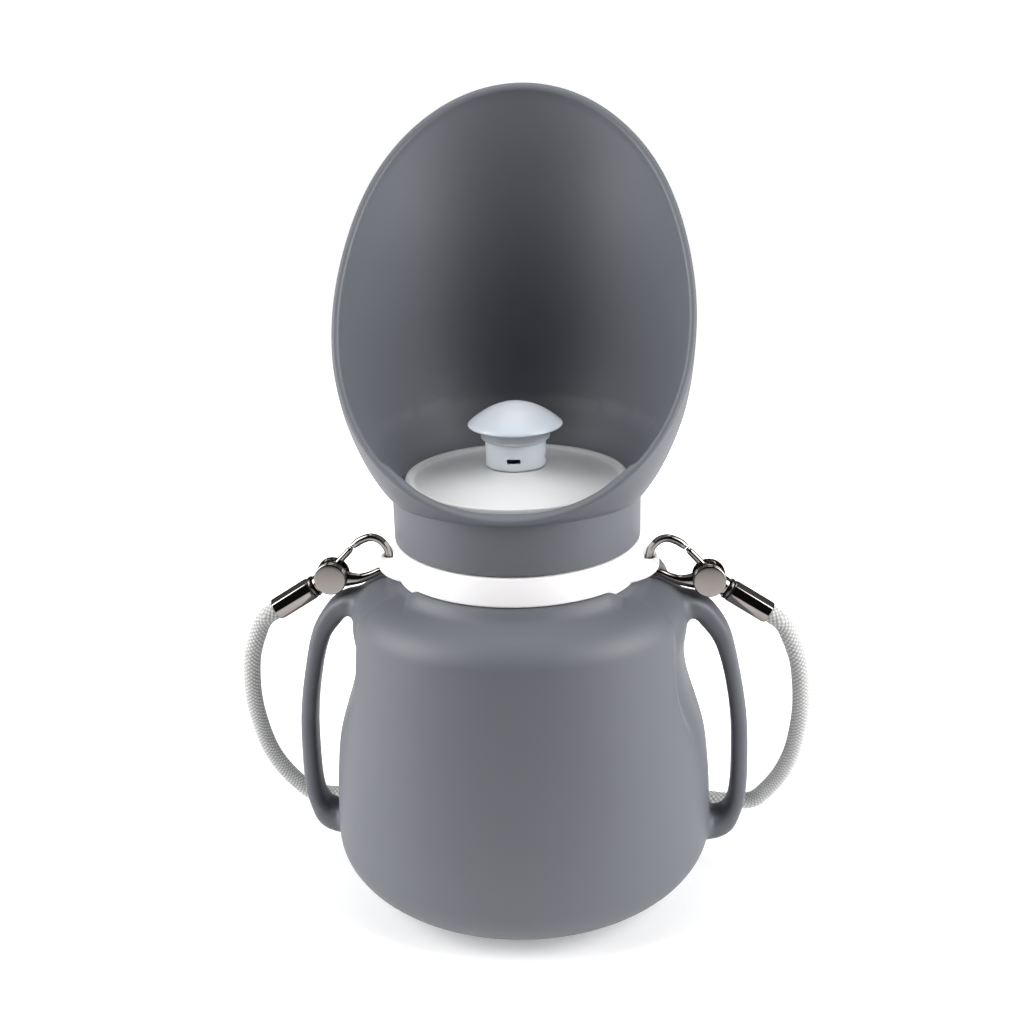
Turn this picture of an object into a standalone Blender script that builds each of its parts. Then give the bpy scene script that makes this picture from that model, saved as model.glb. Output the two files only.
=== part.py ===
"""Urine bottle: a hollow bottle with two moulded side handles, a lanyard ring with a cord on two snap hooks, and a
screw-on funnel cup that holds a drain plate with a push-down valve. Metres, +Z up, origin at the centre of the base,
front towards -Y, handles on the X axis. Run with: blender --background --python part.py
"""

import math

import bmesh
import bpy
from mathutils import Matrix, Vector

GAP = 0.0003  # clearance between faces that touch on the real bottle
TURN_STEPS = 44  # facets round a large turned piece
SMALL_STEPS = 24  # facets round a small turned piece

# Bottle
BODY_R = 0.0636  # widest radius, low on the body
BODY_WALL = 0.0024
BASE_R = 0.0370  # flat of the base
CORNER_H = 0.0180  # height of the round base corner
WAIST_R = 0.0565  # radius just under the shoulder
SEAT_Z = 0.1081  # ledge that the lanyard ring rests on
SEAT_REACH = 0.0053  # width of the ledge, out from the neck
SEAT_STEP = 0.0017  # the ledge stands this much above the shoulder
SHOULDER_H = 0.0113  # height of the round shoulder
HOOK_RELIEF = 0.0010  # dip in the shoulder under a snap hook

# Neck and its thread
NECK_R = 0.0342
NECK_WALL = 0.0024
NECK_H = 0.0124  # threaded part, above the ring
THREAD_PITCH = 0.0050
THREAD_RIDGE_R = 0.00125  # radius of the round thread ridge
THREAD_DEPTH = 0.00195  # how far the ridge stands off the neck
THREAD_TURNS = 1.5
RING_CLEARANCE = 0.0003

# Lanyard ring
RING_FOOT_H = 0.0026  # hidden foot under the visible band
RING_BAND_H = 0.0090
RING_BOTTOM_REACH = 0.0068  # radii of the band, beyond the neck
RING_TOP_REACH = 0.0053
LUG_LENGTH = 0.0046  # how far a lug stands out from the ring
LUG_T = 0.0032
LUG_CURVE_R = 0.0184
LUG_RISE = 0.0006  # underside of a lug, above the underside of the ring
LUG_HOLE_R = 0.0021
LUG_HOLE_EDGE = 0.0012  # material outside the hole

# Handles
HANDLE_STANDOFF = 0.0096  # centre line of a handle at its widest, beyond the body
HANDLE_T = 0.0054
HANDLE_W = 0.0110
HANDLE_FOOT_Z = 0.0185
GRIP_DEPTH = 0.0030  # finger recess in the body behind a handle
GRIP_HALF_ANGLE = math.radians(27)

# Funnel
SKIRT_WALL = 0.0027
BELL_R = 0.0564  # widest radius of the funnel cup
FUNNEL_H = 0.1230  # from the crease above the skirt to the top of the back
RIM_SLOPE = math.radians(52)
WEB_T = 0.0025  # inner ledge that carries the drain plate
WEB_REACH = 0.0059
GASKET_T = 0.0015

# Drain plate and valve
PLATE_T = 0.0018
PLATE_RIM_H = 0.0029
PLATE_RISE = 0.0033  # the plate rises to the valve tube in its centre
TUBE_R = 0.0096
TUBE_WALL = 0.0012
TUBE_H = 0.0093
SLOT_W = 0.0044
SLOT_H = 0.0017
SLOT_UP = 0.0023  # underside of a drain slot, above the tube foot
CAP_R = 0.0150
CAP_RISE = 0.0068
CAP_WALL = 0.0012
COLLAR_WALL = 0.0011
COLLAR_H = 0.0047
STEM_R = 0.0022

# Snap hooks
WIRE_R = 0.0013
HUB_R = 0.0054
HUB_W = 0.0064
HUB_CAP_T = 0.0012
HOOK_REACH = 0.0194  # from the lug hole out to the hub centre
HOOK_DROP = 0.00535  # from the middle of the lug down to the hub centre
GATE_R = 0.0010
PIN_R = 0.0007
SWIVEL_DROP = math.radians(32.5)  # the swivel points out and down
STUD_R = 0.0012
FERRULE_R = 0.0039
FERRULE_START = 0.0082  # distance from the hub centre
FERRULE_LENGTH = 0.0150
CORD_R = 0.0031

# Heights and radii that follow
SEAT_R = NECK_R + SEAT_REACH
RING_BOTTOM_R = NECK_R + RING_BOTTOM_REACH
RING_TOP_R = NECK_R + RING_TOP_REACH
HANDLE_REACH = BODY_R + HANDLE_STANDOFF
RING_Z = SEAT_Z + GAP
BAND_Z = RING_Z + RING_FOOT_H
RING_TOP_Z = BAND_Z + RING_BAND_H
SHOULDER_TOP_Z = SEAT_Z - SEAT_STEP
WAIST_TOP_Z = SHOULDER_TOP_Z - SHOULDER_H
RING_BORE_R = NECK_R + THREAD_DEPTH + 2 * RING_CLEARANCE
COLLAR_R = RING_BORE_R - RING_CLEARANCE
COLLAR_Z = RING_TOP_Z - GAP
NECK_TOP_Z = RING_TOP_Z + NECK_H
SKIRT_Z = RING_TOP_Z + GAP
SKIRT_BORE_R = NECK_R + THREAD_DEPTH + 0.00075
SKIRT_R = SKIRT_BORE_R + SKIRT_WALL
GASKET_Z = NECK_TOP_Z + GAP
WEB_Z = GASKET_Z + GASKET_T + GAP
WEB_TOP_Z = WEB_Z + WEB_T
CREASE_Z = WEB_Z + 0.0005
PLATE_R = SKIRT_BORE_R - 0.0015
PLATE_Z = WEB_TOP_Z + GAP
POCKET_R = PLATE_R + GAP
PLATE_RIM_Z = PLATE_Z + PLATE_RIM_H
TUBE_FOOT_Z = PLATE_RIM_Z + PLATE_RISE + GAP
TUBE_TOP_Z = TUBE_FOOT_Z + TUBE_H
CAP_COLLAR_R = TUBE_R + GAP + COLLAR_WALL
COLLAR_FOOT_Z = TUBE_TOP_Z - 0.0008
CAP_EDGE_Z = COLLAR_FOOT_Z + COLLAR_H
LUG_Z = RING_Z + LUG_RISE
LUG_MID_Z = LUG_Z + LUG_T / 2
LUG_TIP = RING_BOTTOM_R + LUG_LENGTH
HOLE_X = LUG_TIP - LUG_HOLE_EDGE - LUG_HOLE_R
HUB_X = HOLE_X + HOOK_REACH
HUB_Z = LUG_MID_Z - HOOK_DROP
SWIVEL_AXIS = Vector((math.cos(SWIVEL_DROP), 0, -math.sin(SWIVEL_DROP)))

# The cord's route on the right side; the left side mirrors it. First it hangs past the handle: outwards from the
# handle's reach, backwards, and up as a share of the ferrule's height. Then it lies on the floor: outwards from the
# body, and degrees from the back.
CORD_HANG = [
    (0.0140, 0.0009, 0.940),
    (0.0183, 0.0028, 0.820),
    (0.0202, 0.0053, 0.700),
    (0.0211, 0.0092, 0.572),
    (0.0207, 0.0143, 0.432),
    (0.0194, 0.0185, 0.324),
    (0.0168, 0.0236, 0.216),
    (0.0130, 0.0287, 0.119),
    (0.0088, 0.0315, 0.057),
]
CORD_LAY = [
    (0.0193, 66.5),
    (0.0138, 64.8),
    (0.0096, 61.8),
    (0.0071, 57.3),
    (0.0054, 51.5),
    (0.0049, 41.0),
    (0.0051, 28.7),
    (0.0057, 14.2),
    (0.0060, 0.0),
]



def clear_scene():
    for obj in list(bpy.data.objects):
        bpy.data.objects.remove(obj)


def collection(name):
    made = bpy.data.collections.new(name)
    bpy.context.scene.collection.children.link(made)
    return made


def material(name, colour, roughness, metallic=0.0):
    made = bpy.data.materials.new(name)
    made.use_nodes = True
    shader = made.node_tree.nodes["Principled BSDF"]
    shader.inputs["Base Color"].default_value = (*colour, 1)
    shader.inputs["Roughness"].default_value = roughness
    shader.inputs["Metallic"].default_value = metallic
    made.diffuse_color = (*colour, 1)
    return made


def add_object(name, data, group, finish=None):
    obj = bpy.data.objects.new(name, data)
    group.objects.link(obj)
    if finish:
        data.materials.append(finish)
    return obj


def mesh_object(name, bm, group, finish=None):
    mesh = bpy.data.meshes.new(name)
    bmesh.ops.recalc_face_normals(bm, faces=bm.faces)
    bm.to_mesh(mesh)
    bm.free()
    mesh.shade_smooth()
    mesh.set_sharp_from_angle(angle=math.radians(35))
    return add_object(name, mesh, group, finish)


def smooth_through(points, steps):
    """A smooth curve through the points: `steps` stretches between each pair (Catmull-Rom)."""
    ends = [points[0] * 2 - points[1], *points, points[-1] * 2 - points[-2]]
    curve = []
    for before, start, end, after in zip(ends, ends[1:], ends[2:], ends[3:]):
        for step in range(steps):
            t = step / steps
            curve.append(
                0.5
                * (
                    2 * start
                    + (end - before) * t
                    + (2 * before - 5 * start + 4 * end - after) * t**2
                    + (3 * start - before - 3 * end + after) * t**3
                )
            )
    return [*curve, points[-1]]


def profile_through(points, steps):
    """The same for (radius, height) pairs of a turned outline."""
    return [tuple(p) for p in smooth_through([Vector(p) for p in points], steps)]


def arc(centre, radii, start, end, steps):
    """Points (radius, height) on an elliptical arc; angles in degrees from +X."""
    angles = [math.radians(start + (end - start) * i / steps) for i in range(steps + 1)]
    return [(centre[0] + radii[0] * math.cos(a), centre[1] + radii[1] * math.sin(a)) for a in angles]


def turned(name, profile, group, finish=None, steps=TURN_STEPS, ring=False):
    """A profile of (radius, height) pairs turned round the Z axis. It runs down its outer side."""
    bm = bmesh.new()
    verts = [bm.verts.new((r, 0, z)) for r, z in profile]
    for a, b in zip(verts, verts[1:]):
        bm.edges.new((a, b))
    if ring:
        bm.edges.new((verts[-1], verts[0]))
    mesh = bpy.data.meshes.new(name)
    bm.to_mesh(mesh)
    bm.free()
    obj = add_object(name, mesh, group, finish)
    screw = obj.modifiers.new("turn", "SCREW")
    screw.steps = screw.render_steps = steps
    screw.use_merge_vertices = True
    screw.merge_threshold = 0.00001
    screw.use_smooth_shade = True
    return obj


def wire(name, points, radius, group, finish=None, sides=2, strap_width=None, radii=None):
    """A curve object along the points: a round wire, or a round-edged strap lying across the Y axis."""
    curve = bpy.data.curves.new(name, "CURVE")
    curve.bevel_depth = radius
    curve.bevel_resolution = sides
    curve.use_fill_caps = True
    spline = curve.splines.new("POLY")
    spline.points.add(len(points) - 1)
    if strap_width:
        curve.dimensions = "2D"
        curve.extrude = strap_width / 2 - radius
        flat = [(p.x, p.z, 0) for p in points]
    else:
        curve.dimensions = "3D"
        curve.twist_mode = "MINIMUM"
        flat = points
    for place, point in zip(spline.points, flat):
        place.co = (*point, 1)
    for place, scale in zip(spline.points, radii or []):
        place.radius = scale
    obj = add_object(name, curve, group, finish)
    if strap_width:
        obj.rotation_euler.x = math.pi / 2
    return obj


def as_mesh(obj, group, finish=None):
    """Replaces a curve or a modified object by its evaluated mesh, with doubles merged."""
    bpy.context.view_layer.update()
    graph = bpy.context.evaluated_depsgraph_get()
    mesh = bpy.data.meshes.new_from_object(obj.evaluated_get(graph))
    mesh.transform(obj.matrix_world)
    name = obj.name
    bpy.data.objects.remove(obj)
    bm = bmesh.new()
    bm.from_mesh(mesh)
    bmesh.ops.remove_doubles(bm, verts=bm.verts, dist=0.000002)
    made = mesh_object(name, bm, group)
    if finish and not made.data.materials:
        made.data.materials.append(finish)
    return made


def cylinder(name, start, end, radius, group, finish=None, sides=SMALL_STEPS, end_radius=None):
    """A cylinder or cone between two points, with its origin midway."""
    start, end = Vector(start), Vector(end)
    bm = bmesh.new()
    bmesh.ops.create_cone(
        bm,
        cap_ends=True,
        segments=sides,
        radius1=radius,
        radius2=radius if end_radius is None else end_radius,
        depth=(end - start).length,
    )
    obj = mesh_object(name, bm, group, finish)
    obj.location = (start + end) / 2
    obj.rotation_mode = "QUATERNION"
    obj.rotation_quaternion = (end - start).to_track_quat("Z", "Y")
    return obj


def box(name, low, high, group, turn=None):
    low, high = Vector(low), Vector(high)
    bm = bmesh.new()
    size = Matrix.Diagonal((*(high - low), 1))
    bmesh.ops.create_cube(bm, size=1, matrix=(turn or Matrix()) @ Matrix.Translation((low + high) / 2) @ size)
    return mesh_object(name, bm, group)


def boolean(obj, other, operation):
    other.hide_render = True
    other.display_type = "WIRE"
    step = obj.modifiers.new(other.name, "BOOLEAN")
    step.operation = operation
    step.object = other
    step.solver = "EXACT"


def cut(obj, cutter):
    boolean(obj, cutter, "DIFFERENCE")


def join(obj, other):
    boolean(obj, other, "UNION")


def round_edges(obj, width, segments=2):
    bevel = obj.modifiers.new("edge", "BEVEL")
    bevel.width = width
    bevel.segments = segments
    bevel.limit_method = "ANGLE"
    bevel.angle_limit = math.radians(50)


def ease(value, low, high):
    """0 below low, 1 above high, with a smooth rise between."""
    t = min(1.0, max(0.0, (value - low) / (high - low)))
    return t * t * (3 - 2 * t)


def grip_recess(mesh):
    """Pushes the wall in behind each handle: deepest under the shoulder, narrower and fading towards the base."""
    rise = WAIST_TOP_Z - HANDLE_FOOT_Z
    for vertex in mesh.vertices:
        x, y, z = vertex.co
        radius = math.hypot(x, y)
        if radius < SEAT_R:
            continue
        off_axis = abs(math.atan2(y, abs(x)))
        width = GRIP_HALF_ANGLE * (0.45 + 0.55 * ease(z, HANDLE_FOOT_Z + 0.15 * rise, HANDLE_FOOT_Z + 0.8 * rise))
        across = 1 - ease(off_axis, width - math.radians(5), width + math.radians(5))
        up = ease(z, HANDLE_FOOT_Z + 0.1 * rise, HANDLE_FOOT_Z + 0.45 * rise)
        near_seat = ease(radius, SEAT_R + 0.001, SEAT_R + 0.006)
        scale = 1 - GRIP_DEPTH * across * up * near_seat / radius
        vertex.co.x *= scale
        vertex.co.y *= scale
        vertex.co.z -= HOOK_RELIEF * across * near_seat * ease(z, WAIST_TOP_Z, SHOULDER_TOP_Z - 0.002)


def body_outline(wall):
    """Half outline of the body, from under the ring down to the base, set in by `wall`."""
    side_low = (BODY_R - wall, CORNER_H)
    side = [
        (WAIST_R - wall, WAIST_TOP_Z),
        (WAIST_R + 0.25 * (BODY_R - WAIST_R) - wall, CORNER_H + 0.80 * (WAIST_TOP_Z - CORNER_H)),
        (WAIST_R + 0.60 * (BODY_R - WAIST_R) - wall, CORNER_H + 0.52 * (WAIST_TOP_Z - CORNER_H)),
        (WAIST_R + 0.90 * (BODY_R - WAIST_R) - wall, CORNER_H + 0.24 * (WAIST_TOP_Z - CORNER_H)),
        side_low,
    ]
    shoulder_reach = WAIST_R - RING_BOTTOM_R
    shoulder = arc(
        (RING_BOTTOM_R - wall, WAIST_TOP_Z),
        (shoulder_reach, SHOULDER_H - wall),
        90,
        0,
        5,
    )
    corner = arc((BASE_R, CORNER_H), (BODY_R - wall - BASE_R, CORNER_H - wall), 0, -90, 7)
    return [*shoulder[:-1], *profile_through(side, 2)[:-1], *corner]


def bottle(parts, helpers, grey):
    outside = [
        (0, NECK_TOP_Z),
        (NECK_R - 0.0005, NECK_TOP_Z),
        (NECK_R, NECK_TOP_Z - 0.0005),
        (NECK_R, COLLAR_Z + 0.0008),
        (COLLAR_R, COLLAR_Z),
        (COLLAR_R, SEAT_Z),
        (SEAT_R, SEAT_Z),
        (SEAT_R, SHOULDER_TOP_Z),
        *body_outline(0),
        (0, 0),
    ]
    inside_r = NECK_R - NECK_WALL
    shoulder_inside = body_outline(BODY_WALL)
    inside = [
        (0, NECK_TOP_Z + 0.004),
        (inside_r, NECK_TOP_Z + 0.004),
        (inside_r, shoulder_inside[0][1] + 0.001),
        *shoulder_inside,
        (0, BODY_WALL),
    ]
    body = as_mesh(turned("bottle_body", outside, parts), parts, grey)
    grip_recess(body.data)
    cavity = as_mesh(turned("body_cavity", inside, helpers), helpers)
    grip_recess(cavity.data)
    for side in (1, -1):
        join(body, handle(side, helpers))
    join(body, thread("neck_thread", NECK_R + THREAD_DEPTH - THREAD_RIDGE_R, 0, THREAD_TURNS, 0.0026, helpers))
    cut(body, cavity)


def handle(side, helpers):
    """A round-edged strap from the shoulder down to the body's side, joined to the body by wider ends."""
    top_z = HUB_Z - HUB_R - 0.0010 - HANDLE_T / 2  # the snap hook's hub lies over the top of the handle
    drop = top_z - HANDLE_FOOT_Z
    middle = HANDLE_REACH - BODY_R
    path = [
        (WAIST_R - 0.0070, top_z + 0.0010),
        (WAIST_R - 0.0020, top_z + 0.0010),
        (WAIST_R + 0.0020, top_z - 0.0002),
        (HUB_X, top_z - 0.0030),
        (BODY_R + 0.30 * middle, top_z - 0.14 * drop),
        (BODY_R + 0.68 * middle, top_z - 0.32 * drop),
        (BODY_R + 0.93 * middle, top_z - 0.52 * drop),
        (HANDLE_REACH, top_z - 0.71 * drop),
        (BODY_R + 0.93 * middle, top_z - 0.84 * drop),
        (BODY_R + 0.42 * middle, top_z - 0.965 * drop),
        (BODY_R - 0.45 * middle, HANDLE_FOOT_Z - 0.0010),
    ]
    points = smooth_through([Vector((side * x, 0, z)) for x, z in path], 2)
    last = len(points) - 1
    radii = [1 + 0.14 * (1 - ease(i, 1, 5)) + 0.4 * (1 - ease(last - i, 1, 4)) for i in range(last + 1)]
    name = "handle_right" if side > 0 else "handle_left"
    return as_mesh(wire(name, points, HANDLE_T / 2, helpers, strap_width=HANDLE_W, radii=radii), helpers)


def thread(name, radius, start_turn, end_turn, up, helpers):
    """A round helical ridge; `up` is its height above the skirt's foot at turn zero."""
    steps = round((end_turn - start_turn) * 24)
    points = []
    for step in range(steps + 1):
        turn = start_turn + (end_turn - start_turn) * step / steps
        angle = 2 * math.pi * turn
        points.append(Vector((radius * math.cos(angle), radius * math.sin(angle), SKIRT_Z + up + THREAD_PITCH * turn)))
    return as_mesh(wire(name, points, THREAD_RIDGE_R, helpers), helpers)


def lanyard_ring(parts, helpers, white):
    band = [
        (RING_TOP_R - 0.0008, RING_TOP_Z),
        (RING_TOP_R, RING_TOP_Z - 0.0008),
        (RING_BOTTOM_R - 0.0001, BAND_Z + 0.0012),
        (RING_BOTTOM_R - 0.0007, BAND_Z),
        (SEAT_R - GAP, BAND_Z),
        (SEAT_R - GAP, RING_Z),
        (RING_BORE_R, RING_Z),
        (RING_BORE_R, RING_TOP_Z),
    ]
    ring = as_mesh(turned("lanyard_ring", band, parts, ring=True), parts, white)
    centre = LUG_TIP - LUG_CURVE_R
    for side in (1, -1):
        place = side * centre
        lug = cylinder(f"lug{side}", (place, 0, LUG_Z), (place, 0, LUG_Z + LUG_T), LUG_CURVE_R, helpers, sides=40)
        core_r = (RING_BORE_R + SEAT_R - GAP) / 2
        core = cylinder(f"lug_core{side}", (0, 0, LUG_Z - 0.002), (0, 0, LUG_Z + 0.006), core_r, helpers, sides=TURN_STEPS)
        cut(lug, core)
        join(ring, as_mesh(lug, helpers))
    for side in (1, -1):
        hole = side * HOLE_X
        cut(ring, cylinder(f"lug_hole{side}", (hole, 0, LUG_Z - 0.002), (hole, 0, RING_TOP_Z + 0.002), LUG_HOLE_R, helpers))


def bell(radius, set_in):
    """Outline of the funnel cup from its mouth down to the crease, for its outer or inner face."""
    top_z = CREASE_Z + FUNNEL_H + 0.012
    flare = radius - SKIRT_R
    shape = [(1.0, 0.60), (0.99, 0.45), (0.94, 0.33), (0.83, 0.235), (0.65, 0.155), (0.41, 0.080), (0.15, 0.022)]
    upper = [(radius - 0.0042, top_z), (radius - 0.0014, CREASE_Z + 0.93 * FUNNEL_H), (radius, CREASE_Z + 0.78 * FUNNEL_H)]
    points = [*upper, *[(SKIRT_R + part * flare, CREASE_Z + rise * FUNNEL_H) for part, rise in shape]]
    return [(r - set_in, z) for r, z in profile_through(points, 2)]


def funnel(parts, helpers, grey):
    outer = bell(BELL_R, 0)
    wall = SKIRT_WALL - 0.0003
    inner = [p for p in bell(BELL_R, wall) if p[1] > PLATE_RIM_Z + 0.006]
    profile = [
        *outer,
        (SKIRT_R, CREASE_Z),
        (SKIRT_R, SKIRT_Z + 0.0008),
        (SKIRT_R - 0.0008, SKIRT_Z),
        (SKIRT_BORE_R, SKIRT_Z),
        (SKIRT_BORE_R, WEB_Z),
        (SKIRT_BORE_R - WEB_REACH, WEB_Z),
        (SKIRT_BORE_R - WEB_REACH, WEB_TOP_Z),
        (POCKET_R, WEB_TOP_Z),
        (POCKET_R, PLATE_RIM_Z - 0.0014),
        (POCKET_R + 0.0022, PLATE_RIM_Z - 0.0002),
        (POCKET_R + 0.0048, PLATE_RIM_Z + 0.0025),
        *reversed(inner),
    ]
    cup = as_mesh(turned("funnel", profile, parts, ring=True), parts, grey)
    front = POCKET_R + 0.0026
    far = 4 * FUNNEL_H
    at_front = Matrix.Translation((0, -front, PLATE_RIM_Z - 0.0005))
    slope = at_front @ Matrix.Rotation(RIM_SLOPE, 4, "X")
    cut(cup, box("rim_plane", (-far, -far, 0), (far, far, far), helpers, turn=slope))
    ridge_r = SKIRT_BORE_R - THREAD_DEPTH + THREAD_RIDGE_R + 0.0002
    ridge = thread("skirt_thread", ridge_r, 0.56, 1.78, 0.0026 - THREAD_PITCH / 2, helpers)
    join(cup, ridge)


def rubber_ring(name, bore_r, outer_r, z, thickness, parts, rubber, steps=TURN_STEPS):
    low, high = z, z + thickness
    profile = [
        (outer_r - 0.0003, high),
        (outer_r, high - 0.0003),
        (outer_r, low + 0.0003),
        (outer_r - 0.0003, low),
        (bore_r, low),
        (bore_r, high),
    ]
    turned(name, profile, parts, rubber, steps=steps, ring=True)


def drain_plate(parts, white):
    """A thin domed plate with a raised rim, a gutter inside it and a central hole for the valve tube."""
    hole_r = TUBE_R - TUBE_WALL + 2 * GAP
    centre_z = PLATE_RIM_Z + PLATE_RISE
    gutter_z = PLATE_RIM_Z - 0.0011
    top = [(hole_r, centre_z), (TUBE_R + 0.001, centre_z), (0.6 * PLATE_R, 0.45 * centre_z + 0.55 * gutter_z)]
    top = [*top, (PLATE_R - 0.0038, gutter_z + 0.0001), (PLATE_R - 0.0026, gutter_z)]
    rim = [(PLATE_R - 0.0014, PLATE_RIM_Z), (PLATE_R - 0.0005, PLATE_RIM_Z), (PLATE_R, PLATE_RIM_Z - 0.0005)]
    under = [
        (PLATE_R, PLATE_Z),
        (PLATE_R - 0.0052, PLATE_Z),
        (PLATE_R - 0.0058, gutter_z - PLATE_T + 0.0006),
        (0.6 * PLATE_R, 0.45 * centre_z + 0.55 * gutter_z - PLATE_T),
        (TUBE_R + 0.001, centre_z - PLATE_T),
        (hole_r, centre_z - PLATE_T),
    ]
    turned("drain_plate", [*top, *rim, *under], parts, white, ring=True)


def valve_tube(parts, helpers, clear):
    """The upright tube: drain slots at its foot, a spigot through the plate, and a guide for the cap's stem."""
    bore_r = TUBE_R - TUBE_WALL
    spigot_r = bore_r + GAP
    spigot_bore_r = spigot_r - 0.0010
    spigot_z = TUBE_FOOT_Z - PLATE_T - 2 * GAP - 0.0022
    profile = [
        (TUBE_R - 0.0003, TUBE_TOP_Z),
        (TUBE_R, TUBE_TOP_Z - 0.0003),
        (TUBE_R, TUBE_FOOT_Z),
        (spigot_r, TUBE_FOOT_Z),
        (spigot_r, spigot_z),
        (spigot_bore_r, spigot_z),
        (spigot_bore_r, TUBE_FOOT_Z + 0.0008),
        (bore_r, TUBE_FOOT_Z + 0.0012),
        (bore_r, TUBE_TOP_Z),
    ]
    tube = as_mesh(turned("valve_tube", profile, parts, steps=32, ring=True), parts, clear)
    guide_z = TUBE_FOOT_Z + SLOT_UP + SLOT_H + 0.0006
    spokes = []
    for count in range(3):
        turn = Matrix.Rotation(math.radians(90 + 120 * count), 4, "Z")
        low = (STEM_R + GAP + 0.0006, -0.0007, guide_z)
        spoke = box(f"guide_spoke{count}", low, (bore_r + 0.0005, 0.0007, guide_z + 0.0016), helpers, turn=turn)
        spokes.append(spoke)
    hub = [(STEM_R + GAP + 0.0014, guide_z + 0.0016), (STEM_R + GAP + 0.0014, guide_z)]
    hub = [*hub, (STEM_R + GAP, guide_z), (STEM_R + GAP, guide_z + 0.0016)]
    guide = as_mesh(turned("guide_hub", hub, helpers, ring=True, steps=16), helpers)
    for spoke in spokes:
        join(guide, spoke)
    join(tube, as_mesh(guide, helpers))
    for count in range(4):
        turn = Matrix.Rotation(math.radians(90 * count - 90), 4, "Z")
        low = (bore_r - 0.0012, -SLOT_W / 2, TUBE_FOOT_Z + SLOT_UP)
        high = (TUBE_R + 0.001, SLOT_W / 2, TUBE_FOOT_Z + SLOT_UP + SLOT_H)
        cut(tube, box(f"drain_slot{count}", low, high, helpers, turn=turn))
    clip_z = TUBE_FOOT_Z - PLATE_T - 3 * GAP - 0.0018
    rubber_ring("tube_lock_ring", spigot_r + GAP, spigot_r + 0.0030, clip_z, 0.0018, parts, clear, steps=32)
    return guide_z


def valve_cap(parts, guide_z, clear, rubber):
    """The mushroom cap: a dome, a collar that slides down over the tube and a central stem."""
    clip_top = guide_z - GAP
    stem_foot = clip_top - 0.0024

    def dome_z(r):
        return CAP_EDGE_Z + CAP_RISE * (1 - (r / CAP_R) ** 2)

    outer = [(CAP_R * part, dome_z(CAP_R * part)) for part in (0, 0.2, 0.4, 0.6, 0.78, 0.92, 0.985)]
    collar_r = CAP_COLLAR_R
    bore_r = TUBE_R + GAP
    under = [
        (CAP_R, CAP_EDGE_Z - 0.0002),
        (CAP_R - 0.0006, CAP_EDGE_Z - 0.0007),
        (collar_r + 0.0010, dome_z(collar_r + 0.0010) - CAP_WALL - 0.0009),
        (collar_r, dome_z(collar_r) - CAP_WALL - 0.0022),
        (collar_r, COLLAR_FOOT_Z + 0.0012),
        (collar_r - 0.0005, COLLAR_FOOT_Z),
        (bore_r, COLLAR_FOOT_Z),
        (bore_r, dome_z(bore_r) - CAP_WALL),
        (0.5 * bore_r, dome_z(0.5 * bore_r) - CAP_WALL),
        (STEM_R + 0.0008, dome_z(STEM_R) - CAP_WALL - 0.0001),
        (STEM_R, dome_z(STEM_R) - CAP_WALL - 0.0012),
        (STEM_R, clip_top),
        (STEM_R - 0.0007, clip_top),
        (STEM_R - 0.0007, stem_foot + 0.0004),
        (STEM_R - 0.0011, stem_foot),
        (0, stem_foot),
    ]
    turned("valve_cap", [*outer, *under], parts, clear, steps=32)
    rubber_ring("stem_clip", STEM_R - 0.0007 + GAP, STEM_R + 0.0018, clip_top - 0.0019, 0.0016, parts, rubber, steps=20)


def hook_point(side, along, up):
    """A point on a snap hook, given from the lug hole: outwards and upwards."""
    return Vector((side * (HOLE_X + along), 0, LUG_MID_Z + up))


def swivel_point(side, distance):
    """A point on the swivel's axis, given from the hub centre."""
    return Vector((side * (HUB_X + distance * SWIVEL_AXIS.x), 0, HUB_Z + distance * SWIVEL_AXIS.z))


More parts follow.
